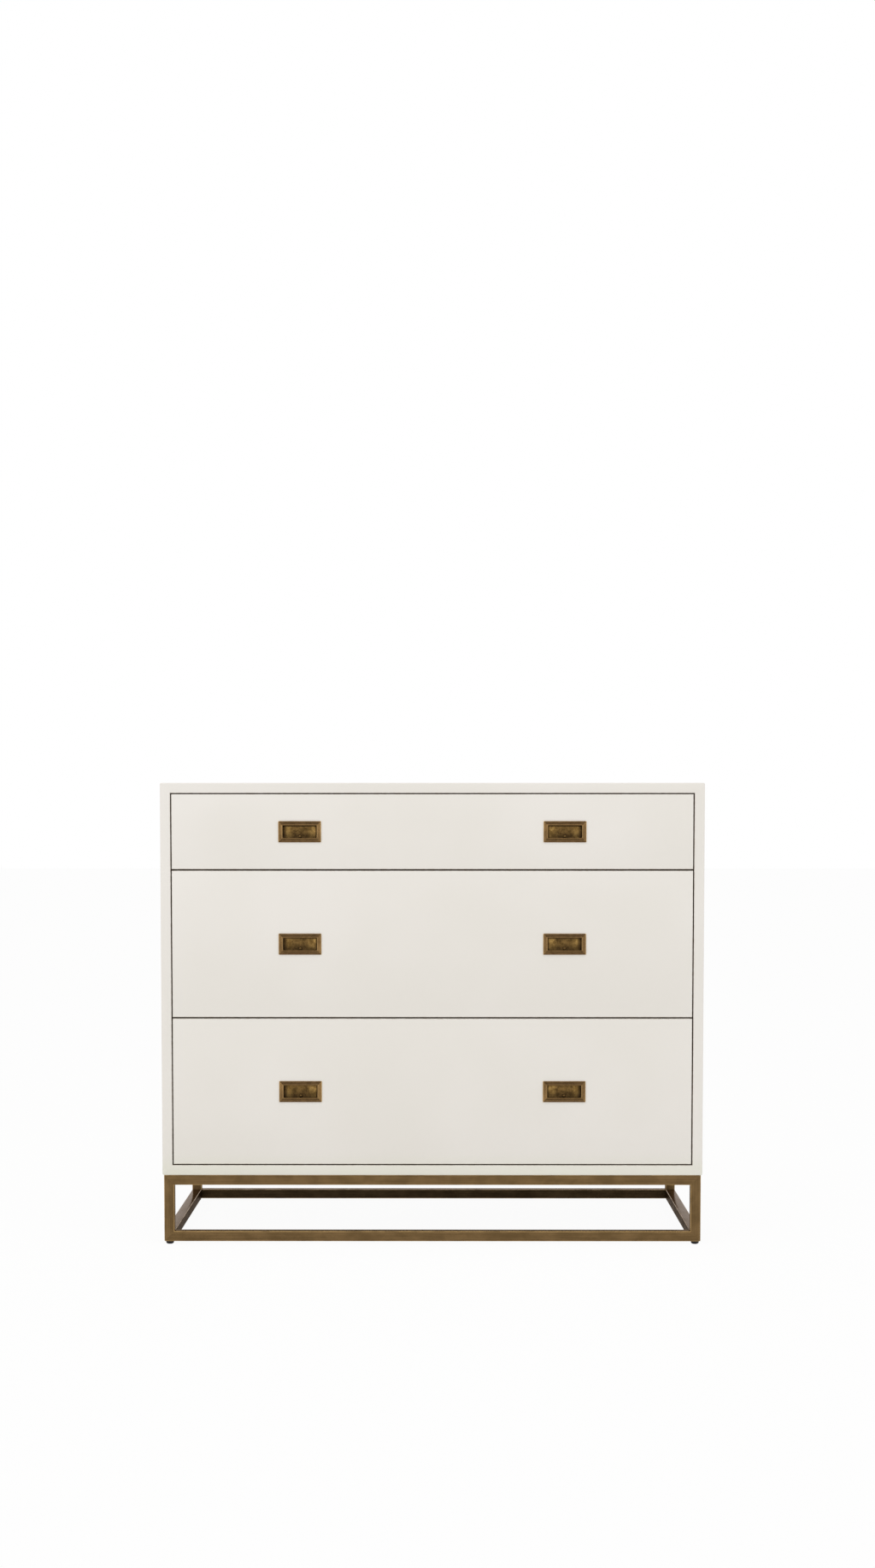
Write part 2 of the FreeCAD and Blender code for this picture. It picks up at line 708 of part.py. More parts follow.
def pull(name, side_name, side):
    """A cast flush pull: a moulded plate with a cup behind its opening; y 0 is the front's face."""
    half_width = dim.pull_width / 2
    half_height = dim.pull_height / 2
    open_x = pull_opening["width"] / 2
    open_z = pull_opening["height"] / 2
    cup_x = open_x + dim.pull_undercut
    cup_z = open_z + dim.pull_undercut
    wall = dim.pull_cup_wall
    plate = rounded_rectangle(half_width, half_height, dim.pull_corner_radius)
    band = dim.pull_outer_band
    lip = dim.pull_lip_width
    floor = dim.pull_cup_depth

    casting = Piece(f"{name}_drawer_{side_name}_pull")
    casting.pad("XZ_Plane", ZERO, dim.pull_band_rise, plate, toward=-1)
    casting.pad("XZ_Plane", -dim.pull_band_rise, dim.pull_lip_rise - dim.pull_band_rise,
                rounded_rectangle(open_x + lip, open_z + lip, dim.pull_corner_radius), toward=-1)
    casting.pocket("XZ_Plane", -dim.pull_band_rise, dim.pull_band_rise - dim.pull_groove_rise,
                   rounded_rectangle(half_width - band, half_height - band, dim.pull_corner_radius),
                   rounded_rectangle(open_x + lip, open_z + lip, dim.pull_corner_radius))
    casting.pad("XZ_Plane", ZERO, floor + wall,
                rounded_rectangle(cup_x + wall, cup_z + wall, dim.pull_cup_corner + wall))
    casting.fillet(dim.pull_cup_scoop, {"y": floor + wall})
    lip_back = dim.pull_lip_thickness - dim.pull_groove_rise
    casting.pocket("XZ_Plane", lip_back, floor - lip_back,
                   rounded_rectangle(cup_x, cup_z, dim.pull_cup_corner))
    casting.fillet(dim.pull_cup_scoop, {"y": floor})
    casting.pocket("XZ_Plane", -dim.pull_lip_rise, dim.pull_lip_rise + lip_back,
                   rectangle(-open_x, -open_z, open_x, open_z))
    casting.fillet(dim.pull_edge_radius, {"y": -dim.pull_lip_rise}, {"y": -dim.pull_band_rise})
    casting.pad("XZ_Plane", floor + wall / 2, dim.pull_boss_rise + wall / 2,
                Circle(ZERO, dim.pull_boss_inset - open_z, dim.pull_boss_diameter / 2), toward=-1)
    casting.fillet(dim.pull_boss_edge_radius, {"y": floor - dim.pull_boss_rise})
    studs = [Circle(stud_line * end, ZERO, dim.pull_stud_diameter / 2) for end in SIDES.values()]
    casting.pad("XZ_Plane", floor + wall / 2,
                dim.front_thickness + dim.pull_stud_end - floor - wall / 2, *studs)
    return casting.place(dim.pull_spacing / 2 * side, case_front,
                         front_bottom[name] + front_height[name] / 2)


def pull_nuts(name):
    """The nuts on the studs of a drawer's pulls, inside the drawer."""
    bore = dim.pull_stud_diameter / 2 + dim.thread_clearance
    shapes = []
    for x in stud_places:
        shapes.append(hexagon(x, ZERO, dim.nut_across_flats))
        shapes.append(Circle(x, ZERO, bore))
    nuts = Piece(f"{name}_drawer_pull_nuts")
    nuts.pad("XZ_Plane", ZERO, dim.nut_thickness, *shapes)
    return nuts.place(y=front_back, z=front_bottom[name] + front_height[name] / 2)


# Telescopic slides: u runs from the case side towards the drawer, v up from the slide's middle

steel = dim.slide_steel
running = dim.slide_running_gap
outer_top = dim.slide_height / 2
middle_web = steel + dim.slide_head_room
middle_top = outer_top - steel - running
inner_near = middle_web + steel + running
middle_far = inner_near + steel * 2 + running
outer_far = middle_far + steel + running
inner_flange = middle_top - dim.slide_lip - running
inner_tip = middle_top - steel - running


def mirrored(side, points):
    """An outline of (u, v) points, on one side of the case."""
    return Outline(*[((inner_half_width - u) * side, v) for u, v in points])


def channel(side, near, far, top):
    """A rolled channel, open towards the drawer, with lips at its edges."""
    lip = top - dim.slide_lip
    upper = [(near + steel, top - steel), (far - steel, top - steel), (far - steel, lip),
             (far, lip), (far, top), (near, top)]
    lower = [(u, -v) for u, v in reversed(upper)]
    return mirrored(side, lower + upper)


def hat_section(side):
    """The inner member, with its web on the drawer and its lips behind the middle member's."""
    far = dim.slide_space
    upper = [(far, inner_flange), (inner_near + steel, inner_flange),
             (inner_near + steel, inner_tip), (inner_near, inner_tip),
             (inner_near, inner_flange - steel), (far - steel, inner_flange - steel)]
    lower = [(u, -v) for u, v in reversed(upper)]
    return mirrored(side, upper + lower)


def make_slides(name):
    """A pair of each member of a drawer's slides."""
    place = {"y": slide_front, "z": slide_middle[name]}
    outer = Piece(f"{name}_drawer_outer_runners").place(**place)
    outer.pad("XZ_Plane", ZERO, dim.slide_length,
              *[channel(side, ZERO, outer_far, outer_top) for side in SIDES.values()])
    radius = dim.slide_screw_diameter / 2 + dim.hole_clearance
    outer.pocket("YZ_Plane", ZERO, None,
                 *[Circle(y - slide_front, ZERO, radius) for y in slide_screw_places], toward=0)
    middle = Piece(f"{name}_drawer_middle_runners").place(**place)
    middle.pad("XZ_Plane", ZERO, dim.slide_length,
               *[channel(side, middle_web, middle_far, middle_top) for side in SIDES.values()])
    inner = Piece(f"{name}_drawer_inner_runners").place(**place)
    inner.pad("XZ_Plane", ZERO, dim.slide_length,
              *[hat_section(side) for side in SIDES.values()])


def make_slide_screws():
    """The screws that hold the outer runners to the sides of the case."""
    screws = Piece("slide_screws")
    spots = [(y, slide_middle[name]) for name in DRAWERS for y in slide_screw_places]
    for side in SIDES.values():
        seat = (inner_half_width - steel) * side
        screws.pad("YZ_Plane", seat, dim.slide_screw_head_height,
                   *[Circle(y, z, dim.slide_screw_head / 2) for y, z in spots], toward=-side)
        screws.pad("YZ_Plane", seat, steel + dim.slide_screw_grip,
                   *[Circle(y, z, dim.slide_screw_diameter / 2) for y, z in spots], toward=side)


def make_drawers():
    """Three drawers, each with its front, box, pulls and slides."""
    for name in DRAWERS:
        drawer_front(name)
        drawer_bottom(name)
        drawer_back(name)
        for side_name, side in SIDES.items():
            drawer_side(name, side_name, side)
            pull(name, side_name, side)
        pull_nuts(name)
        make_slides(name)


def check_document():
    """Stop if any object failed, any cut missed or any sub-part has no sound shape."""
    for item in document.Objects:
        failed = {"Invalid", "Error"} & set(item.State)
        if failed:
            raise ValueError(f"{item.Name} is {sorted(failed)}")
        if item.TypeId == "PartDesign::Pocket":
            if item.Shape.Volume >= item.BaseFeature.Shape.Volume:
                raise ValueError(f"{item.Name} cuts nothing")
    for piece in Piece.made:
        shape = piece.body.Shape
        if shape.isNull() or not shape.isValid():
            raise ValueError(f"{piece.body.Label} has no sound shape")


make_case()
make_base()
make_base_fasteners()
make_glides()
make_drawers()
make_slide_screws()
document.recompute()
check_document()

os.makedirs("parts", exist_ok=True)
for piece in Piece.made:
    piece.body.Shape.exportStep(f"parts/{piece.body.Label}.step")
print(f"{len(Piece.made)} sub-parts written")
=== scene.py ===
import math

import bmesh
import bpy
from mathutils import Matrix, Vector


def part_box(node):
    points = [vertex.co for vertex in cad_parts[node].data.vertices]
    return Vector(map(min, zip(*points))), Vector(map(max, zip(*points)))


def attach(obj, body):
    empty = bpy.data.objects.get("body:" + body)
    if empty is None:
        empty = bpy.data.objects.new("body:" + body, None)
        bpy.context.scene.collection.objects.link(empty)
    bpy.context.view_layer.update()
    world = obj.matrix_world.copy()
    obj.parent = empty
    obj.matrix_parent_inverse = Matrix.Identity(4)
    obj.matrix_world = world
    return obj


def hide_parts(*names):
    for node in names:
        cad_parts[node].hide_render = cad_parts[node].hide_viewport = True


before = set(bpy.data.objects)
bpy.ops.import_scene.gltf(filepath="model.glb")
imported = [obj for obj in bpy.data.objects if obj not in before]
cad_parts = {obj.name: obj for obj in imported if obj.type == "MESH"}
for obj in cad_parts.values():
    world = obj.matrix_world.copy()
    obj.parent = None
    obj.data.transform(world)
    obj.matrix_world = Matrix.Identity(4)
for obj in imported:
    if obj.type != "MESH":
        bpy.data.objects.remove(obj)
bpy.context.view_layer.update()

# Campaign chest: a lacquered case with three drawers and brass pulls, on a base of bronze tube.
# Metres. +X is to the right, +Y to the back, +Z up; the drawers open towards -Y.

X, Y, Z = range(3)
DRAWERS = ("top", "middle", "bottom")
SIDES = ("left", "right")

# Which way each side of a frame looks
OUTWARD = {"top": (0, 0, 1), "right": (1, 0, 0), "bottom": (0, 0, -1), "left": (-1, 0, 0)}

# Modelling: the angle up to which faces join smoothly, and those of a sharp and of a fully rubbed edge;
# what counts as the same place and the same way, as an edge along an axis and as a face that looks up;
# and how far a cutter reaches past what it cuts
SMOOTH_ANGLE = math.radians(35)
SHARP_ANGLE = 1.0
RUBBED_ANGLE = math.radians(24)
SAME_PLACE = 0.00001
SAME_WAY = 0.99
RUNS_ALONG = 0.999
LOOKS_UP = 0.5
OVERSHOOT = 0.01

# Camera: a long lens in front of the chest, level with its top drawer; angles in radians
CAMERA_PLACE = (0.0213, -4.547, 0.811)
CAMERA_DOWN = 0.0599
CAMERA_TURN = 0.0027
CAMERA_LENS = 52.74
CAMERA_SHIFT_UP = 0.107

# Studio: how far the floor is pure white for the camera and in reflections; the rest is lit paint
FLOOR_WHITE = 0.95
FLOOR_WHITE_IN_METAL = 0.45
FLOOR_PAINT = (0.80, 0.79, 0.77, 1)
ROOM_FILL = 0.80
FRONT_SOFTBOX = (2.6, 2.8)
OVERHEAD_SOFTBOX = (2.6, 1.8)
LAMP_TARGET = (0, 0, 0.45)

# Case and fronts; the lacquer gets painted shade, darker and yellower, below the first of two heights
# and none above the second
PANEL = 0.019
CASE_CORNER_RADIUS = 0.003
LACQUER_EDGE_RADIUS = 0.001
LACQUER_SHADE_HEIGHTS = (0.135, 0.18)
REBATE_WIDTH = 0.009
REBATE_DEPTH = 0.008

# Screws round the back panel
SCREW_HEAD_RADIUS = 0.0035
SCREW_HEAD_HEIGHT = 0.0015
SCREW_HEAD_ROUND = 0.00105
SCREW_SHANK_RADIUS = 0.00175
SCREW_SLOT_LENGTH = 0.0036
SCREW_SLOT_WIDTH = 0.0009
SCREW_SLOT_DEPTH = 0.0010
SCREW_MARGIN = 0.039

# Base tube; the painted shade on its inner faces, under the case, fades out between two distances past
# them
TUBE_WALL = 0.0016
TUBE_EDGE_RADIUS = 0.0011
TUBE_CORNER_RADIUS = 0.0016
BRONZE_EDGE_TINT = (0.62, 0.54, 0.48)
BRONZE_INNER_SHADE_FADE = (0.0002, 0.0025)
BOLT_HEAD_RADIUS = 0.006
BOLT_RADIUS = 0.003
GLIDE_STUD_RADIUS = 0.004
HOLE_CLEARANCE = 0.0003
DRILL_DEPTH = TUBE_WALL * 3

# Pulls
PULL_BORDER = 0.008
PULL_OUTER_BAND = 0.0034
PULL_LIP = 0.0018
PULL_BAND_RISE = 0.0016
PULL_GROOVE_RISE = 0.0009
PULL_LIP_RISE = 0.0021
PULL_LIP_THICKNESS = 0.0015
PULL_UNDERCUT = 0.0015
PULL_CUP_DEPTH = 0.0105
PULL_CUP_WALL = 0.002
PULL_CORNER_RADIUS = 0.0008
PULL_CUP_SCOOP = 0.005
PULL_END_SCOOP = 0.009
PULL_SIDE_SCOOP = 0.0045
PULL_FIT = 0.0005
PULL_EDGE_RADIUS = 0.0004
PULL_NUB_RADIUS = 0.00275
PULL_NUB_RISE = 0.0034
PULL_NUB_INSET = 0.00315
PULL_NUB_EDGE_RADIUS = 0.0013
PULL_STUD_INSET = 0.010
PULL_STUD_RADIUS = 0.002

# Where a pull changes tone, in metres from its middle or behind the drawer's face. The bars at its
# sides and the outer ends of its edges get a painted highlight. Its cup gets a painted reflection
# towards its ends, painted shadow along its walls and a painted highlight on its nub. The painted
# shadow in its cup reaches further in on the side away from the chest's middle, by a share of the way.
PULL_BAND_STEP = (-0.0013, -0.0010)
PULL_CUP_MOUTH = (-0.0005, 0.0008)
PULL_SIDE_BARS = (0.0196, 0.0212)
PULL_GLINT_ENDS = (0.0374, 0.0388)
PULL_REFLECTION_ENDS = (0.012, 0.021)
PULL_SHADOW_SIDES = (0.0264, 0.0315)
PULL_SHADOW_OUTWARD = 0.065
PULL_SHADOW_TOP = (0.0088, 0.0108)
PULL_SHADE_BOTTOM = (0.0060, -0.0112)
PULL_NUB_TIP = (0.0, -0.0086, 0.0071)
PULL_NUB_HIGHLIGHT = (0.0014, 0.0030)


# Modelling helpers

def activate(piece):
    """Select one object alone."""
    bpy.ops.object.select_all(action="DESELECT")
    piece.select_set(True)
    bpy.context.view_layer.objects.active = piece


def name_piece(name):
    """Name the object just made, with its place and size put into its mesh."""
    piece = bpy.context.object
    piece.name = name
    piece.data.name = name
    bpy.ops.object.transform_apply(location=True, rotation=True, scale=True)
    return piece


def block(name, low, high):
    """A block between two corners."""
    low, high = Vector(low), Vector(high)
    bpy.ops.object.select_all(action="DESELECT")
    bpy.ops.mesh.primitive_cube_add(size=1.0, location=(low + high) / 2, scale=high - low)
    return name_piece(name)


def rod(name, radius, start, length, axis, sides=32):
    """A round rod from a point, along +Y or +Z."""
    middle = Vector(start)
    middle[axis] += length / 2
    turn = (math.pi / 2, 0, 0) if axis == Y else (0, 0, 0)
    bpy.ops.object.select_all(action="DESELECT")
    bpy.ops.mesh.primitive_cylinder_add(vertices=sides, radius=radius, depth=length,
                                        location=middle, rotation=turn)
    return name_piece(name)


def copy_piece(piece, name, shift=(0, 0, 0)):
    """A copy with a mesh of its own, moved by a shift."""
    twin = piece.copy()
    twin.data = piece.data.copy()
    twin.name = name
    twin.data.name = name
    twin.data.transform(Matrix.Translation(shift))
    bpy.context.scene.collection.objects.link(twin)
    return twin


def join(piece, *others):
    """Make several objects one."""
    activate(piece)
    for other in others:
        other.select_set(True)
    bpy.ops.object.join()
    return piece


def remove(piece):
    """Delete an object with its mesh."""
    bpy.data.meshes.remove(piece.data)


def pick(piece, kind, test):
    """In edit mode, select just the faces or edges that pass a test."""
    bpy.ops.mesh.select_mode(type=kind)
    bpy.ops.mesh.select_all(action="DESELECT")
    mesh = bmesh.from_edit_mesh(piece.data)
    mesh.normal_update()
    parts = mesh.faces if kind == "FACE" else mesh.edges
    for part in [part for part in parts if test(part)]:
        part.select_set(True)
    mesh.select_flush_mode()
    bmesh.update_edit_mesh(piece.data)


def near(first, second):
    """Whether two places along an axis are the same."""
    return abs(first - second) < SAME_PLACE


def looks(axis, sign):
    """A test for faces that look along an axis."""
    return lambda face: face.normal[axis] * sign > SAME_WAY


def lies(axis, *places):
    """A test for faces or edges that lie in planes across an axis."""
    def test(part):
        spots = [vertex.co[axis] for vertex in part.verts]
        return any(all(near(spot, place) for spot in spots) for place in places)
    return test


def runs(axis):
    """A test for edges that run along an axis."""
    def test(edge):
        way = edge.verts[1].co - edge.verts[0].co
        return abs(way[axis]) > RUNS_ALONG * way.length
    return test


def both(*tests):
    """A test that passes where several others do."""
    return lambda part: all(test(part) for test in tests)


def sharp(edge):
    """Whether the faces at an edge meet at a sharp angle."""
    return edge.calc_face_angle(0.0) > SHARP_ANGLE


def extrude(shift):
    """Extrude what is selected by a shift."""
    bpy.ops.mesh.extrude_region_move(TRANSFORM_OT_translate={"value": shift})


def bevel(radius, segments):
    """Round the selected edges."""
    bpy.ops.mesh.bevel(offset=radius, segments=segments, affect="EDGES", profile=0.5,
                       clamp_overlap=True)


def combine(piece, other, operation):
    """Join a piece with another solid, which is then removed."""
    modifier = piece.modifiers.new("solids", "BOOLEAN")
    modifier.operation = operation
    modifier.solver = "EXACT"
    modifier.object = other
    activate(piece)
    bpy.ops.object.modifier_apply(modifier=modifier.name)
    remove(other)


def cut(piece, cutter):
    """Cut another solid out of a piece."""
    combine(piece, cutter, "DIFFERENCE")


def add(piece, lump):
    """Add another solid to a piece."""
    combine(piece, lump, "UNION")


def mark_edge_convexity(piece, width, where=None):
    """Write how far each corner stands out along a piece's rounded edges, from -1 to 1.

    Only faces narrower than a width get any, and only where their middle passes a test."""
    mesh = bmesh.new()
    mesh.from_mesh(piece.data)
    mesh.normal_update()
    layer = mesh.loops.layers.float.new("edge_convexity")
    lift = {}
    for vertex in mesh.verts:
        angles = [edge.calc_face_angle_signed(0.0) for edge in vertex.link_edges]
        strongest = max(angles, key=abs, default=0.0)
        lift[vertex] = max(-1.0, min(1.0, strongest / RUBBED_ANGLE))
    for face in mesh.faces:
        narrow = 2 * face.calc_area() / face.calc_perimeter() < width
        narrow = narrow and (where is None or where(face.calc_center_median()))
        for corner in face.loops:
            corner[layer] = lift[corner.vert] if narrow else 0.0
    mesh.to_mesh(piece.data)
    mesh.free()


def mark_faces(piece, mark, way, least=SAME_WAY):
    """Write a mark on the corners of the faces whose normals follow one way by at least a share."""
    values = piece.data.attributes.new(mark, "FLOAT", "CORNER")
    for face in piece.data.polygons:
        marked = face.normal.dot(Vector(way)) > least
        for corner in face.loop_indices:
            values.data[corner].value = float(marked)


def mark_place(piece, centre, outward):
    """Write each corner's place on a pull: outward along it, up it, and behind the drawer's face."""
    places = piece.data.attributes.new("pull_place", "FLOAT_VECTOR", "CORNER")
    for corner, place in zip(piece.data.loops, places.data):
        spot = piece.data.vertices[corner.vertex_index].co - centre
        place.vector = (spot.x * outward, spot.z, spot.y)


def fit(piece, body, slot, material, *nodes):
    """Smooth a piece, give it its material and set it in the frame for its nodes."""
    activate(piece)
    bpy.ops.object.shade_smooth_by_angle(angle=SMOOTH_ANGLE)
    piece.data.materials.clear()
    piece.data.materials.append(material)
    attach(piece, body)
    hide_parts(*nodes)


# Finishes

class Finish:
    """A material on object coordinates, built up from its texture nodes."""

    def __init__(self, name, metallic=0.0, ior=1.5, edge_tint=(1, 1, 1)):
        self.material = bpy.data.materials.new(name)
        self.material.use_nodes = True
        self.nodes = self.material.node_tree.nodes
        self.links = self.material.node_tree.links
        self.surface = self.nodes["Principled BSDF"]
        self.surface.inputs["Metallic"].default_value = metallic
        self.surface.inputs["IOR"].default_value = ior
        self.surface.inputs["Specular Tint"].default_value = (*edge_tint, 1)
        self.place = self.nodes.new("ShaderNodeTexCoord").outputs["Object"]

    def node(self, kind, settings, inputs):
        """A new node, with each input either linked or set."""
        node = self.nodes.new(f"ShaderNode{kind}")
        for name, value in settings.items():
            setattr(node, name, value)
        for name, value in inputs.items():
            if isinstance(value, bpy.types.NodeSocket):
                self.links.new(value, node.inputs[name])
            else:
                node.inputs[name].default_value = value
        return node

    def noise(self, scale, detail=3.0, roughness=0.55, distortion=0.0):
        """Noise with so many cells a metre along each of the object's axes."""
        cells = self.node("Mapping", {}, {"Vector": self.place, "Scale": scale}).outputs["Vector"]
        inputs = {"Vector": cells, "Scale": 1.0, "Detail": detail, "Roughness": roughness,
                  "Distortion": distortion}
        return self.node("TexNoise", {}, inputs).outputs["Fac"]

    def spread(self, value, low, high, to_low=0.0, to_high=1.0):
        """Map one range of a value to another, clamped and eased."""
        inputs = {"Value": value, "From Min": low, "From Max": high,
                  "To Min": to_low, "To Max": to_high}
        return self.node("MapRange", {"interpolation_type": "SMOOTHSTEP"}, inputs).outputs["Result"]

    def sum(self, first, second, weight=1.0):
        """Add a weighted value to another."""
        inputs = {0: second, 1: weight, 2: first}
        return self.node("Math", {"operation": "MULTIPLY_ADD"}, inputs).outputs[0]

    def unsigned(self, value):
        """A value without its sign."""
        return self.node("Math", {"operation": "ABSOLUTE"}, {0: value}).outputs[0]

    def product(self, first, second):
        """One value times another."""
        return self.node("Math", {"operation": "MULTIPLY"}, {0: first, 1: second}).outputs[0]

    def mix(self, factor, first, second):
        """Blend two colours."""
        node = self.node("Mix", {"data_type": "RGBA"}, {"Factor": factor})
        for socket, colour in ((node.inputs[6], first), (node.inputs[7], second)):
            if isinstance(colour, bpy.types.NodeSocket):
                self.links.new(colour, socket)
            else:
                socket.default_value = (*colour, 1.0)
        return node.outputs[2]

    def attribute(self, name):
        """A mark that was written on the piece."""
        return self.node("Attribute", {"attribute_name": name}, {}).outputs["Fac"]

    def axis(self, name):
        """One of the object's own coordinates, in metres."""
        return self.node("SeparateXYZ", {}, {"Vector": self.place}).outputs[name]

    def bump(self, height, distance):
        """Raise the surface by a height of 0 to 1 times a distance in metres."""
        inputs = {"Height": height, "Distance": distance, "Strength": 1.0}
        earlier = self.surface.inputs["Normal"].links
        if earlier:
            inputs["Normal"] = earlier[0].from_socket
        self.use("Normal", self.node("Bump", {}, inputs).outputs["Normal"])

    def use(self, socket, value):
        """Feed the surface."""
        self.links.new(value, self.surface.inputs[socket])


def tone(red, green, blue):
    """A colour given by its display values from 0 to 255."""
    def linear(value):
        share = value / 255
        return share / 12.92 if share <= 0.04045 else ((share + 0.055) / 1.055) ** 2.4
    return tuple(linear(value) for value in (red, green, blue))


MAPLE = (tone(196, 160, 116), tone(224, 194, 152))
BIRCH = (tone(212, 182, 138), tone(232, 208, 168))
STAINED_WOOD = (tone(70, 50, 33), tone(104, 77, 51))


def along_grain(axis, along, across):
    """Noise scales for cells drawn out along one axis."""
    return tuple(along if way == axis else across for way in (X, Y, Z))


def ivory_lacquer(name, grain_axis=X):
    """Sprayed satin lacquer with a faint orange peel, with painted shade near the floor, darker and
    yellower there, and brown painted shade on its edges by the drawer gaps.

    The faces marked bare are stained wood instead, with their grain along an axis."""
    finish = Finish(name, ior=1.48)
    cloud = finish.noise((3.0, 3.0, 3.0), detail=2.0)
    coat = finish.mix(finish.spread(cloud, 0.35, 0.65), tone(231, 227, 220), tone(234, 230, 224))
    # Painted shade: darker and yellower below the lower of two heights.
    painted_low_shade = finish.mix(finish.spread(cloud, 0.35, 0.65), tone(227, 225, 213), tone(230, 228, 217))
    coat = finish.mix(finish.spread(finish.axis("Z"), *LACQUER_SHADE_HEIGHTS, 1.0, 0.0), coat, painted_low_shade)
    # Painted shade: a broken brown tone on the rounded edges round the drawer openings and on the
    # fronts' edges, which darkens the gaps.
    edge_shade_noise = finish.noise((160.0, 160.0, 160.0))
    edge_wear_and_painted_light = finish.product(finish.spread(finish.attribute("edge_convexity"), 0.2, 0.9),
                          finish.spread(edge_shade_noise, 0.35, 0.65, 0.15, 0.42))
    coat = finish.mix(edge_wear_and_painted_light, coat, tone(150, 128, 100))
    grain = finish.noise(along_grain(grain_axis, 3.0, 120.0), detail=4.0, distortion=0.4)
    stain = finish.mix(finish.spread(grain, 0.3, 0.7), *STAINED_WOOD)
    bare = finish.attribute("bare")
    finish.use("Base Color", finish.mix(bare, coat, stain))
    haze = finish.noise((18.0, 18.0, 18.0))
    finish.use("Roughness", finish.sum(finish.spread(haze, 0.3, 0.7, 0.36, 0.44), bare, 0.15))
    finish.bump(finish.noise((420.0, 420.0, 420.0), detail=1.0), 0.00003)
    finish.bump(finish.noise((24.0, 24.0, 24.0), detail=1.0), 0.00012)
    return finish.material


def bronze_tube(axis, inside):
    """Brushed bronze: fine grain along the tube, a soft patina, rubbed edges that are partly a painted
    highlight, and a painted grey reflection on the top faces.

    The faces that look into the base get painted shade, as under the case; inside is half the width and
    depth between them."""
    finish = Finish(f"bronze_tube_along_{'xyz'[axis]}", metallic=1.0, edge_tint=BRONZE_EDGE_TINT)
    grain = finish.noise(along_grain(axis, 5.0, 2400.0), detail=2.0)
    streaks = finish.noise(along_grain(axis, 9.0, 700.0), detail=2.0)
    cloud = finish.noise(along_grain(axis, 26.0, 40.0), detail=4.0, distortion=0.2)
    patina = finish.sum(finish.spread(streaks, 0.25, 0.75), finish.spread(grain, 0.25, 0.75), 1.2)
    patina = finish.sum(patina, finish.spread(cloud, 0.3, 0.7), 1.3)
    open_tone = finish.mix(finish.spread(patina, 0.5, 3.0), tone(103, 82, 53), tone(128, 103, 69))
    # Painted reflection: the top faces of the side rails and rear frame turn grey, like the white room
    # mirrored in them.
    top_reflection = finish.attribute("top_reflection")
    dust_and_sheen = finish.product(top_reflection, finish.spread(cloud, 0.25, 0.75, 0.6, 0.95))
    open_tone = finish.mix(dust_and_sheen, open_tone, tone(86, 80, 77))
    # Painted shade: the faces that look into the base, under the case, are darker.
    inner_painted_shade = finish.mix(finish.spread(patina, 0.5, 3.0), tone(50, 39, 25), tone(70, 56, 39))

    reach = finish.node("VectorMath", {"operation": "ABSOLUTE"}, {0: finish.place}).outputs[0]
    past = finish.node("VectorMath", {"operation": "SUBTRACT"}, {0: reach, 1: inside}).outputs[0]
    past = finish.node("SeparateXYZ", {}, {"Vector": past})
    beyond = {0: past.outputs["X"], 1: past.outputs["Y"]}
    outside = finish.node("Math", {"operation": "MAXIMUM"}, beyond).outputs[0]
    base = finish.mix(finish.spread(outside, *BRONZE_INNER_SHADE_FADE), inner_painted_shade, open_tone)

    # Rubbed edges, partly wear and partly a painted highlight; on top faces the edges get a whiter
    # painted highlight.
    rub = finish.noise(along_grain(axis, 30.0, 200.0), detail=2.0)
    rubbed_and_highlit = finish.product(finish.attribute("edge_convexity"), finish.spread(rub, 0.3, 0.65, 0.45, 1.0))
    edge_wear_and_highlight = finish.mix(top_reflection, tone(198, 164, 110), tone(214, 204, 194))
    finish.use("Base Color", finish.mix(finish.spread(rubbed_and_highlit, 0.1, 0.9), base, edge_wear_and_highlight))
    finish.use("Roughness", finish.sum(finish.spread(patina, 0.5, 3.0, 0.46, 0.37), top_reflection, -0.22))
    finish.bump(grain, 0.00002)
    return finish.material


def brass_plate(finish, mottle, tarnish, side_bars, behind):
    """The plate of a pull: a band round a groove, both with a patchy painted highlight on the bars at
    its sides.
    """
    # Painted highlight, in patches, on the bars at the plate's sides.
    highlight_patches = finish.spread(finish.noise((19.0, 19.0, 19.0), detail=1.0), 0.4, 0.6, 0.45, 1.0)
    patchy = finish.product(highlight_patches, finish.spread(mottle, 0.3, 0.7, 0.6, 1.0))
    side_bar_highlight = finish.product(side_bars, patchy)
    band = finish.mix(tarnish, tone(82, 62, 40), tone(108, 84, 56))
    band = finish.mix(finish.product(side_bar_highlight, 0.75), band, tone(176, 140, 90))
    groove = finish.mix(tarnish, tone(82, 63, 41), tone(104, 81, 54))
    groove = finish.mix(finish.product(side_bar_highlight, 0.8), groove, tone(176, 140, 91))
    return finish.mix(finish.spread(behind, *PULL_BAND_STEP), band, groove)


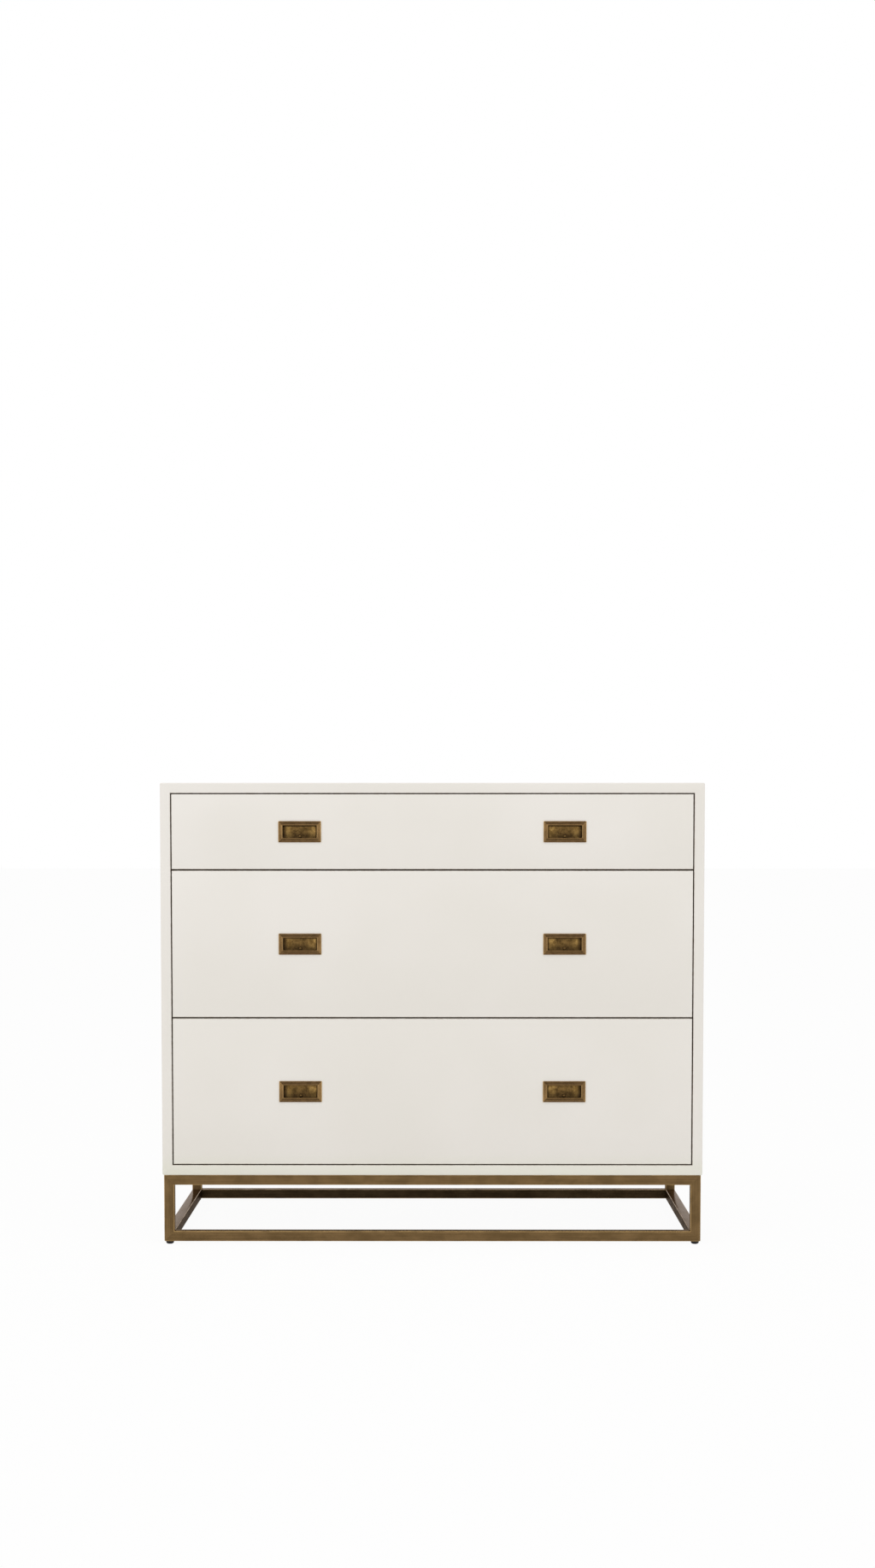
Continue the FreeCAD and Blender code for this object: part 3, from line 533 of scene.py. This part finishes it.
def brass_cup(finish, mottle, tarnish, spot):
    """The cup of a pull: a painted reflection brightens it towards its ends, painted shadow darkens it
    along its walls, and its nub has a painted highlight.
    """
    outward, up = finish.node("SeparateXYZ", {}, {"Vector": spot}).outputs[:2]
    along = finish.unsigned(outward)
    # Painted reflection: the cup's floor is brighter towards its ends.
    middle = finish.mix(tarnish, tone(80, 61, 33), tone(134, 105, 61))
    ends = finish.mix(tarnish, tone(111, 85, 45), tone(174, 140, 82))
    floor = finish.mix(finish.spread(along, *PULL_REFLECTION_ENDS), middle, ends)
    # Painted shadow along the cup's walls, under its top lip and along its bottom, wider on the side
    # away from the chest's middle.
    ragged = finish.sum(finish.sum(along, outward, PULL_SHADOW_OUTWARD), mottle, 0.002)
    unshadowed = finish.spread(ragged, *PULL_SHADOW_SIDES, 1.0, 0.22)
    unshadowed = finish.product(unshadowed, finish.spread(up, *PULL_SHADOW_TOP, 1.0, 0.0))
    unshadowed = finish.product(unshadowed, finish.spread(up, *PULL_SHADE_BOTTOM, 1.0, 0.3))
    cup = finish.mix(unshadowed, tone(46, 33, 20), floor)
    # Painted highlight on the nub.
    from_tip = finish.node("VectorMath", {"operation": "DISTANCE"}, {0: spot, 1: PULL_NUB_TIP})
    nub_highlight = finish.spread(from_tip.outputs["Value"], *PULL_NUB_HIGHLIGHT)
    return finish.mix(nub_highlight, tone(112, 87, 52), cup)


def antique_brass():
    """Cast brass: dark patina in its grooves, painted shadow round the cup's rim, and rubbed edges that
    are partly a painted highlight, with a painted glint at the outer ends.
    """
    finish = Finish("antique_brass", metallic=1.0)
    mottle = finish.noise((520.0, 520.0, 520.0), detail=5.0, roughness=0.72, distortion=0.1)
    cloud = finish.noise((110.0, 110.0, 110.0), detail=2.0, distortion=0.3)
    tarnish = finish.sum(finish.spread(mottle, 0.2, 0.8), finish.spread(cloud, 0.3, 0.7), 0.9)
    tarnish = finish.spread(tarnish, 0.2, 1.7)
    spot = finish.node("Attribute", {"attribute_name": "pull_place"}, {}).outputs["Vector"]
    outward, up, behind = finish.node("SeparateXYZ", {}, {"Vector": spot}).outputs
    along = finish.unsigned(outward)
    side_bars = finish.spread(finish.sum(along, finish.unsigned(up), -1.0), *PULL_SIDE_BARS)
    plate = brass_plate(finish, mottle, tarnish, side_bars, behind)
    cup = brass_cup(finish, mottle, tarnish, spot)
    base = finish.mix(finish.spread(behind, *PULL_CUP_MOUTH), plate, cup)

    # Rubbed edges, partly wear and partly a painted highlight, brighter on the side bars; the outer
    # ends get a painted glint. Hollow creases get dark patina.
    edge_convexity = finish.attribute("edge_convexity")
    ragged = finish.spread(mottle, 0.25, 0.6, 0.5, 1.0)
    rubbed_and_highlit = finish.product(finish.spread(edge_convexity, 0.1, 0.9), ragged)
    edge = finish.mix(side_bars, tone(180, 144, 90), tone(210, 173, 117))
    edge = finish.mix(finish.spread(along, *PULL_GLINT_ENDS), edge, tone(255, 222, 162))
    edge_wear_and_painted_light = finish.mix(rubbed_and_highlit, base, edge)
    finish.use("Base Color", finish.mix(finish.spread(edge_convexity, -0.1, -0.8), edge_wear_and_painted_light, tone(70, 53, 33)))
    finish.use("Roughness", finish.spread(mottle, 0.3, 0.7, 0.5, 0.34))
    finish.bump(mottle, 0.0001)
    finish.bump(finish.noise((1300.0, 1300.0, 1300.0), detail=1.0), 0.00002)
    return finish.material


def zinc_steel():
    """Bright zinc plate, slightly clouded, with fine rolling lines."""
    finish = Finish("zinc_steel", metallic=1.0)
    cloud = finish.noise((70.0, 70.0, 70.0))
    base = finish.mix(finish.spread(cloud, 0.3, 0.7), tone(184, 186, 190), tone(204, 206, 208))
    finish.use("Base Color", base)
    lines = finish.noise(along_grain(Y, 6.0, 1400.0), detail=2.0)
    finish.use("Roughness", finish.spread(lines, 0.3, 0.7, 0.3, 0.42))
    finish.bump(lines, 0.00001)
    return finish.material


def sealed_wood(name, axis, dark, light):
    """Clear sealed wood with its grain along an axis."""
    finish = Finish(name, ior=1.46)
    grain = finish.noise(along_grain(axis, 3.0, 90.0), detail=4.0, distortion=0.4)
    flame = finish.noise(along_grain(axis, 1.1, 11.0), detail=2.0, distortion=1.2)
    pores = finish.noise(along_grain(axis, 40.0, 1500.0), detail=2.0)
    figure = finish.sum(finish.spread(grain, 0.25, 0.75), finish.spread(flame, 0.35, 0.65), 0.8)
    base = finish.mix(finish.spread(figure, 0.2, 1.7), dark, light)
    pore_tone = tuple(value * 0.6 for value in dark)
    finish.use("Base Color", finish.mix(finish.spread(pores, 0.62, 0.8, 0.0, 0.5), base, pore_tone))
    finish.use("Roughness", finish.spread(grain, 0.3, 0.7, 0.42, 0.55))
    finish.bump(pores, 0.00003)
    return finish.material


def back_board():
    """Painted board with the fine weave of its pressed face."""
    finish = Finish("back_board", ior=1.45)
    cloud = finish.noise((5.0, 5.0, 5.0), detail=4.0)
    finish.use("Base Color", finish.mix(cloud, tone(206, 200, 190), tone(222, 217, 208)))
    fibre = finish.noise((900.0, 900.0, 900.0), detail=2.0)
    finish.use("Roughness", finish.spread(fibre, 0.3, 0.7, 0.6, 0.75))
    finish.bump(fibre, 0.00005)
    return finish.material


def black_nylon():
    """Moulded nylon with a dull, finely stippled skin."""
    finish = Finish("black_nylon", ior=1.4)
    dust_and_sheen = finish.noise((90.0, 90.0, 90.0), detail=3.0)
    dusted = finish.mix(finish.spread(dust_and_sheen, 0.35, 0.7), tone(16, 12, 12), tone(30, 25, 24))
    finish.use("Base Color", dusted)
    stipple = finish.noise((1600.0, 1600.0, 1600.0), detail=1.0)
    finish.use("Roughness", finish.spread(stipple, 0.3, 0.7, 0.38, 0.52))
    finish.bump(stipple, 0.00003)
    return finish.material


# Frames of four mitred members

def box_round(*nodes):
    """The low and high corner of the box round several nodes."""
    boxes = [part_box(node) for node in nodes]
    low = Vector([min(box[0][axis] for box in boxes) for axis in (X, Y, Z)])
    high = Vector([max(box[1][axis] for box in boxes) for axis in (X, Y, Z)])
    return low, high


def ring(name, low, high, width, rebate_width=0.0, rebate_depth=0.0):
    """A closed frame round an opening that runs along Y, with an optional rebate at its back."""
    piece = block(name, low, high)
    bpy.ops.object.mode_set(mode="EDIT")
    pick(piece, "FACE", looks(Y, 1))
    bpy.ops.mesh.inset(thickness=width - rebate_width)
    if rebate_depth:
        extrude((0, -rebate_depth, 0))
        bpy.ops.mesh.inset(thickness=rebate_width)
    pick(piece, "FACE", looks(Y, -1))
    bpy.ops.mesh.inset(thickness=width)

    def closes_opening(face):
        """Whether a face stands in the opening, at its front or back."""
        middle = face.calc_center_median()
        inside = all(low[axis] + width < middle[axis] < high[axis] - width for axis in (X, Z))
        at_end = near(middle.y, low.y) or near(middle.y, high.y - rebate_depth)
        return inside and at_end and abs(face.normal.y) > SAME_WAY

    pick(piece, "FACE", closes_opening)
    bpy.ops.mesh.bridge_edge_loops()
    bpy.ops.object.mode_set(mode="OBJECT")
    return piece


def round_ring(piece, low, high, corner_radius, edge_radius):
    """Round the four outer corners of a frame, then the edges of its faces."""
    bpy.ops.object.mode_set(mode="EDIT")
    pick(piece, "EDGE", both(runs(Y), lies(X, low.x, high.x), lies(Z, low.z, high.z)))
    bevel(corner_radius, 5)
    pick(piece, "EDGE", both(lies(Y, low.y, high.y), sharp))
    bevel(edge_radius, 4)
    bpy.ops.object.mode_set(mode="OBJECT")


def keep_beyond(place, way):
    """In edit mode, cut everything by a plane and keep what lies beyond it."""
    bpy.ops.mesh.select_mode(type="VERT")
    bpy.ops.mesh.select_all(action="SELECT")
    bpy.ops.mesh.bisect(plane_co=place, plane_no=way.normalized(), use_fill=True, clear_inner=True,
                        threshold=1e-7)


def member(frame_piece, name, low, high, out):
    """The member of a mitred frame that lies on its out side, cut at both corners."""
    piece = copy_piece(frame_piece, name)
    activate(piece)
    out = Vector(out)
    along = Vector((abs(out.z), 0, abs(out.x)))
    middle = (low + high) / 2
    half = (high - low) / 2
    bpy.ops.object.mode_set(mode="EDIT")
    for end in (-1, 1):
        corner = middle + out * half + along * half * end
        keep_beyond(corner, out - along * end)
    keep_beyond(middle, out)
    bpy.ops.object.mode_set(mode="OBJECT")
    return piece


# Case

def make_case():
    """The lacquered case: four boards, mitred so that the lacquer runs unbroken round them."""
    nodes = {"top": "top_panel", "right": "right_side_panel", "bottom": "bottom_panel",
             "left": "left_side_panel"}
    low, high = box_round(*nodes.values())
    case = ring("case", low, high, PANEL, REBATE_WIDTH, REBATE_DEPTH)
    round_ring(case, low, high, CASE_CORNER_RADIUS, LACQUER_EDGE_RADIUS)
    flat = ivory_lacquer("ivory_lacquer_top_and_bottom", X)
    upright = ivory_lacquer("ivory_lacquer_sides", Z)
    margin = PANEL - LACQUER_EDGE_RADIUS

    def by_opening(spot):
        """Whether a spot is near or inside the case's opening."""
        return all(low[axis] + margin < spot[axis] < high[axis] - margin for axis in (X, Z))

    for name, node in nodes.items():
        panel = member(case, f"lacquered_{node}", low, high, OUTWARD[name])
        mark_edge_convexity(panel, LACQUER_EDGE_RADIUS, by_opening)
        mark_faces(panel, "bare", -Vector(OUTWARD[name]))
        fit(panel, "root", "ivory_lacquer", upright if name in SIDES else flat, node)
    remove(case)


def model_screw(point, seat, top):
    """A pan-head screw along Y, with a cross recess."""
    screw = rod("screw", SCREW_HEAD_RADIUS, (0, seat, 0), SCREW_HEAD_HEIGHT, Y, sides=24)
    bpy.ops.object.mode_set(mode="EDIT")
    pick(screw, "EDGE", lies(Y, top))
    bevel(SCREW_HEAD_ROUND, 4)
    pick(screw, "FACE", both(looks(Y, -1), lies(Y, seat)))
    bpy.ops.mesh.inset(thickness=SCREW_HEAD_RADIUS - SCREW_SHANK_RADIUS)
    extrude((0, point - seat, 0))
    bpy.ops.object.mode_set(mode="OBJECT")
    long, short, deep = SCREW_SLOT_LENGTH / 2, SCREW_SLOT_WIDTH / 2, SCREW_SLOT_DEPTH
    for wide, tall in ((long, short), (short, long)):
        cut(screw, block("slot", (-wide, top - deep, -tall), (wide, top + deep, tall)))
    return screw


def make_back_screws(zinc):
    """The screws round the back panel: five along its top and bottom, four up each side."""
    node = "back_panel_screws"
    low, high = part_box(node)
    centre = (low + high) / 2
    screw = model_screw(low.y, high.y - SCREW_HEAD_HEIGHT, high.y)
    reach = (high - low) / 2 - Vector((SCREW_HEAD_RADIUS, 0, SCREW_HEAD_RADIUS))
    inset = REBATE_WIDTH / 2 + SCREW_MARGIN
    across = [(reach.x - inset) * step / 2 for step in (-2, -1, 0, 1, 2)]
    upwards = [(reach.z - inset) * step / 3 for step in (-3, -1, 1, 3)]
    spots = [(x, reach.z * up) for x in across for up in (-1, 1)]
    spots += [(reach.x * side, z) for z in upwards for side in (-1, 1)]
    copies = [copy_piece(screw, f"screw_{count}", (centre.x + x, 0, centre.z + z))
              for count, (x, z) in enumerate(spots)]
    remove(screw)
    screws = join(*copies)
    screws.name = "cross_recess_back_panel_screws"
    fit(screws, "root", "zinc_steel", zinc, node)


# Base

def hollow_frame(tube, low, high):
    """Put the bore of the tubes into a frame, as an inner shell."""
    wall = Vector((TUBE_WALL, TUBE_WALL, TUBE_WALL))
    bore = ring("bore", low + wall, high - wall, high.y - low.y - TUBE_WALL * 2)
    activate(bore)
    bpy.ops.object.mode_set(mode="EDIT")
    bpy.ops.mesh.select_all(action="SELECT")
    bpy.ops.mesh.flip_normals()
    bpy.ops.object.mode_set(mode="OBJECT")
    join(tube, bore)


def drill_frame(tube, low, high):
    """Drill a frame for the heads and shanks of the case's bolts and for the studs of the glides."""
    size = high.y - low.y
    bolt_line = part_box("base_bolts")[1].x - BOLT_HEAD_RADIUS
    stud_line = high.x - size / 2
    holes = (
        (BOLT_HEAD_RADIUS, bolt_line, high.z - size - TUBE_WALL),
        (BOLT_RADIUS, bolt_line, high.z - TUBE_WALL * 2),
        (GLIDE_STUD_RADIUS, stud_line, low.z - TUBE_WALL),
    )
    for side in (-1, 1):
        for radius, line, bottom in holes:
            start = (line * side, low.y + size / 2, bottom)
            cut(tube, rod("hole", radius + HOLE_CLEARANCE, start, DRILL_DEPTH, Z))


def inside_of_base():
    """Half the width and depth between the base's side rails and between its frames."""
    return (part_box("right_upper_rail")[0].x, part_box("rear_upper_rail")[0].y, 0.0)


def make_cross_frame(end, bronze):
    """The front or rear frame of the base: hollow tube, mitred and ground smooth."""
    nodes = {"top": (f"{end}_upper_rail", X), "right": (f"{end}_right_leg", Z),
             "bottom": (f"{end}_lower_rail", X), "left": (f"{end}_left_leg", Z)}
    low, high = box_round(*(node for node, axis in nodes.values()))
    tube = ring(f"{end}_frame", low, high, high.y - low.y)
    round_ring(tube, low, high, TUBE_CORNER_RADIUS, TUBE_EDGE_RADIUS)
    hollow_frame(tube, low, high)
    drill_frame(tube, low, high)
    for name, (node, axis) in nodes.items():
        piece = member(tube, f"bronze_{node}", low, high, OUTWARD[name])
        mark_edge_convexity(piece, TUBE_EDGE_RADIUS / 2)
        if end == "rear":
            mark_faces(piece, "top_reflection", OUTWARD["top"], LOOKS_UP)
        fit(piece, "root", "bronze_tube", bronze[axis], node)
    remove(tube)


def make_side_rail(node, bronze):
    """A rail from the front frame to the rear one."""
    low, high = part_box(node)
    wall = Vector((TUBE_WALL, 0, TUBE_WALL))
    rail = block(f"bronze_{node}", low, high)
    bpy.ops.object.mode_set(mode="EDIT")
    pick(rail, "EDGE", runs(Y))
    bevel(TUBE_EDGE_RADIUS, 4)
    bpy.ops.object.mode_set(mode="OBJECT")
    past = Vector((0, OVERSHOOT, 0))
    cut(rail, block("bore", low + wall - past, high - wall + past))
    mark_edge_convexity(rail, TUBE_EDGE_RADIUS / 2)
    mark_faces(rail, "top_reflection", OUTWARD["top"], LOOKS_UP)
    fit(rail, "root", "bronze_tube", bronze[Y], node)


# Drawer fronts and pulls

def margin_block(name, low, high, margin, front, back):
    """A block over a pull's plate, less a margin all round, between two depths."""
    near_corner = (low.x + margin, front, low.z + margin)
    far_corner = (high.x - margin, back, high.z - margin)
    return block(name, near_corner, far_corner)


def make_front(name, lacquer):
    """A lacquered front with its edges eased and a pocket behind each pull."""
    node = f"{name}_drawer_front"
    low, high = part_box(node)
    front = block(f"lacquered_{node}", low, high)
    bpy.ops.object.mode_set(mode="EDIT")
    pick(front, "EDGE", lies(Y, low.y))
    bevel(LACQUER_EDGE_RADIUS, 4)
    bpy.ops.object.mode_set(mode="OBJECT")
    border = PULL_BORDER - PULL_UNDERCUT - PULL_CUP_WALL - PULL_FIT
    depth = PULL_CUP_DEPTH + PULL_CUP_WALL + PULL_FIT
    for side in SIDES:
        pull_low, pull_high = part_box(f"{name}_drawer_{side}_pull")
        pocket = margin_block("pocket", pull_low, pull_high, border, low.y - OVERSHOOT, low.y + depth)
        cut(front, pocket)
    mark_edge_convexity(front, LACQUER_EDGE_RADIUS / 2)
    fit(front, f"{name}_drawer", "ivory_lacquer", lacquer, node)


def model_plate(name, low, high, face):
    """The stepped plate of a pull, with the outside of its cup behind it."""
    rear = face + PULL_CUP_DEPTH + PULL_CUP_WALL

    def in_front(edge):
        """Whether an edge belongs to the plate and not to the cup behind it."""
        return max(end.co.y for end in edge.verts) < face + PULL_FIT

    plate = margin_block(name, low, high, 0, face - PULL_BAND_RISE, face)
    bpy.ops.object.mode_set(mode="EDIT")
    pick(plate, "FACE", looks(Y, 1))
    bpy.ops.mesh.inset(thickness=PULL_BORDER - PULL_UNDERCUT - PULL_CUP_WALL)
    extrude((0, rear - face, 0))
    pick(plate, "EDGE", lies(Y, rear))
    bevel(PULL_CUP_SCOOP, 5)
    pick(plate, "FACE", looks(Y, -1))
    bpy.ops.mesh.inset(thickness=PULL_OUTER_BAND)
    extrude((0, PULL_BAND_RISE - PULL_GROOVE_RISE, 0))
    bpy.ops.mesh.inset(thickness=PULL_BORDER - PULL_LIP - PULL_OUTER_BAND)
    extrude((0, PULL_GROOVE_RISE - PULL_LIP_RISE, 0))
    pick(plate, "EDGE", both(runs(Y), in_front))
    bevel(PULL_CORNER_RADIUS, 3)
    bpy.ops.object.mode_set(mode="OBJECT")
    return plate


def hollow_pull(pull, low, high, face):
    """Cut the opening of a pull and the scooped inside of its cup."""
    floor = face + PULL_CUP_DEPTH
    lip_back = face + PULL_LIP_THICKNESS - PULL_GROOVE_RISE
    margin = PULL_BORDER - PULL_UNDERCUT
    opening = margin_block("opening", low, high, PULL_BORDER, face - OVERSHOOT, floor - PULL_CUP_SCOOP)
    bpy.ops.object.mode_set(mode="EDIT")
    pick(opening, "EDGE", runs(Y))
    bevel(PULL_CORNER_RADIUS, 3)
    bpy.ops.object.mode_set(mode="OBJECT")
    cavity = margin_block("cavity", low, high, margin, lip_back, floor)
    bpy.ops.object.mode_set(mode="EDIT")
    pick(cavity, "EDGE", both(runs(Z), lies(Y, floor)))
    bevel(PULL_END_SCOOP, 8)
    at_sides = lies(Z, low.z + margin, high.z - margin)
    at_lip = lies(Y, lip_back)
    pick(cavity, "EDGE", lambda edge: at_sides(edge) and not at_lip(edge))
    bevel(PULL_SIDE_SCOOP, 6)
    bpy.ops.object.mode_set(mode="OBJECT")
    cut(pull, cavity)
    cut(pull, opening)


def add_nub(pull, low, high, face):
    """Add the rounded nub at the bottom of a pull's cup."""
    floor = face + PULL_CUP_DEPTH
    start = ((low.x + high.x) / 2, floor - PULL_NUB_RISE, low.z + PULL_BORDER + PULL_NUB_INSET)
    nub = rod("nub", PULL_NUB_RADIUS, start, PULL_NUB_RISE + PULL_CUP_WALL / 2, Y, sides=24)
    bpy.ops.object.mode_set(mode="EDIT")
    pick(nub, "EDGE", lies(Y, start[Y]))
    bevel(PULL_NUB_EDGE_RADIUS, 4)
    bpy.ops.object.mode_set(mode="OBJECT")
    add(pull, nub)


def add_studs(pull, low, high, face):
    """Add the two studs that hold a pull, from the back of its cup."""
    centre = (low + high) / 2
    rear = face + PULL_CUP_DEPTH + PULL_CUP_WALL / 2
    reach = (high.x - low.x) / 2 - PULL_BORDER - PULL_STUD_INSET
    for end in (-1, 1):
        start = (centre.x + reach * end, rear, centre.z)
        add(pull, rod("stud", PULL_STUD_RADIUS, start, high.y - rear, Y, sides=24))


def model_pull(name, low, high, face):
    """One pull: a stepped plate with a rolled lip round a scooped cup, a nub and two studs."""
    pull = model_plate(name, low, high, face)
    hollow_pull(pull, low, high, face)
    add_nub(pull, low, high, face)
    add_studs(pull, low, high, face)
    activate(pull)
    bpy.ops.object.mode_set(mode="EDIT")
    steps = lies(Y, face - PULL_BAND_RISE, face - PULL_LIP_RISE, face - PULL_GROOVE_RISE)
    pick(pull, "EDGE", both(steps, sharp))
    bevel(PULL_EDGE_RADIUS, 3)
    bpy.ops.object.mode_set(mode="OBJECT")
    mark_edge_convexity(pull, PULL_EDGE_RADIUS, lambda spot: spot.y < face + PULL_EDGE_RADIUS)
    return pull


def make_pulls(brass):
    """Six pulls from one model."""
    first = f"{DRAWERS[0]}_drawer_{SIDES[0]}_pull"
    low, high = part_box(first)
    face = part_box(f"{DRAWERS[0]}_drawer_front")[0].y
    pattern = model_pull("pull_pattern", low, high, face)
    for name in DRAWERS:
        for side, outward in zip(SIDES, (-1, 1)):
            node = f"{name}_drawer_{side}_pull"
            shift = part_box(node)[0] - low
            pull = copy_piece(pattern, f"cast_{node}", shift)
            centre = (low + high) / 2 + shift
            mark_place(pull, Vector((centre.x, face, centre.z)), outward)
            fit(pull, f"{name}_drawer", "antique_brass", brass, node)
    remove(pattern)


# The whole chest

def dress_kept_nodes(zinc, brass):
    """Give the solids that are kept as they are, such as drawer boxes and slides, their materials."""
    maple_side = sealed_wood("maple_along_y", Y, *MAPLE)
    maple_back = sealed_wood("maple_along_x", X, *MAPLE)
    materials = {
        "zinc_steel": zinc,
        "antique_brass": brass,
        "glide_plastic": black_nylon(),
        "back_board": back_board(),
        "drawer_bottom_board": sealed_wood("birch_along_x", X, *BIRCH),
        "stretcher_wood": sealed_wood("stained_along_x", X, *STAINED_WOOD),
    }
    for name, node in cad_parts.items():
        slot = node.data.materials[0].name.split(".")[0]
        if slot == "drawer_box_wood":
            node.data.materials[0] = maple_back if name.endswith("back") else maple_side
        elif slot in materials:
            node.data.materials[0] = materials[slot]


def make_chest():
    """Every piece of the chest, each in its material."""
    lacquer = ivory_lacquer("ivory_lacquer")
    inside = inside_of_base()
    bronze = [bronze_tube(axis, inside) for axis in (X, Y, Z)]
    brass = antique_brass()
    zinc = zinc_steel()
    make_case()
    make_back_screws(zinc)
    for end in ("front", "rear"):
        make_cross_frame(end, bronze)
    for side in SIDES:
        for level in ("upper", "lower"):
            make_side_rail(f"{side}_{level}_rail", bronze)
    for name in DRAWERS:
        make_front(name, lacquer)
    make_pulls(brass)
    dress_kept_nodes(zinc, brass)


# Camera and studio

def make_camera():
    """A long lens in front of the chest, level with its top drawer."""
    data = bpy.data.cameras.new("camera")
    data.lens = CAMERA_LENS
    data.shift_y = CAMERA_SHIFT_UP
    piece = bpy.data.objects.new("camera", data)
    piece.location = CAMERA_PLACE
    piece.rotation_euler = (math.pi / 2 - CAMERA_DOWN, 0, CAMERA_TURN)
    bpy.context.scene.collection.objects.link(piece)
    bpy.context.scene.camera = piece


def show_white(tree, lit, white, shares):
    """Lay a plain white over a lit surface, by its share for the camera, in gloss and through glass."""
    path = tree.nodes.new("ShaderNodeLightPath").outputs
    total = None
    for ray, share in zip(("Is Camera Ray", "Is Glossy Ray", "Is Transmission Ray"), shares):
        step = tree.nodes.new("ShaderNodeMath")
        step.operation = "MULTIPLY_ADD"
        step.use_clamp = True
        step.inputs[1].default_value = share
        step.inputs[2].default_value = 0.0
        tree.links.new(path[ray], step.inputs[0])
        if total:
            tree.links.new(total, step.inputs[2])
        total = step.outputs[0]
    blend = tree.nodes.new("ShaderNodeMixShader")
    tree.links.new(total, blend.inputs[0])
    tree.links.new(lit.outputs[0], blend.inputs[1])
    tree.links.new(white.outputs[0], blend.inputs[2])
    return blend.outputs[0]


def make_surround():
    """A white room: pure white where it is seen, a little softer as light."""
    world = bpy.data.worlds.new("studio")
    bpy.context.scene.world = world
    world.use_nodes = True
    tree = world.node_tree
    white = tree.nodes["Background"]
    fill = tree.nodes.new("ShaderNodeBackground")
    for shade, strength in ((white, 1.0), (fill, ROOM_FILL)):
        shade.inputs["Color"].default_value = (1, 1, 1, 1)
        shade.inputs["Strength"].default_value = strength
    surface = show_white(tree, fill, white, (1, 1, 1))
    tree.links.new(surface, tree.nodes["World Output"].inputs["Surface"])


def make_floor():
    """A pale painted floor that keeps a faint shadow."""
    bpy.ops.object.select_all(action="DESELECT")
    bpy.ops.mesh.primitive_plane_add(size=60.0, location=(0, 0, 0))
    floor = name_piece("floor")
    paint = bpy.data.materials.new("floor_paint")
    paint.use_nodes = True
    tree = paint.node_tree
    lit = tree.nodes.new("ShaderNodeBsdfDiffuse")
    lit.inputs["Color"].default_value = FLOOR_PAINT
    white = tree.nodes.new("ShaderNodeEmission")
    surface = show_white(tree, lit, white, (FLOOR_WHITE, FLOOR_WHITE_IN_METAL, FLOOR_WHITE))
    tree.links.new(surface, tree.nodes["Material Output"].inputs["Surface"])
    floor.data.materials.append(paint)


def make_softbox(name, place, size, power):
    """A large soft lamp that faces the middle of the chest."""
    data = bpy.data.lights.new(name, "AREA")
    data.shape = "RECTANGLE"
    data.size, data.size_y = size
    data.energy = power
    lamp = bpy.data.objects.new(name, data)
    lamp.location = place
    lamp.rotation_euler = (Vector(LAMP_TARGET) - Vector(place)).to_track_quat("-Z", "Y").to_euler()
    bpy.context.scene.collection.objects.link(lamp)


def make_studio():
    """The white room, its floor, and three softboxes with their place and power."""
    make_surround()
    make_floor()
    make_softbox("left_softbox", place=(-2.4, -3.0, 1.7), size=FRONT_SOFTBOX, power=19)
    make_softbox("right_softbox", place=(2.4, -3.0, 1.7), size=FRONT_SOFTBOX, power=13)
    make_softbox("overhead_softbox", place=(0, -1.2, 3.2), size=OVERHEAD_SOFTBOX, power=14)


make_chest()
make_camera()
make_studio()
bpy.context.scene.view_settings.view_transform = "Standard"
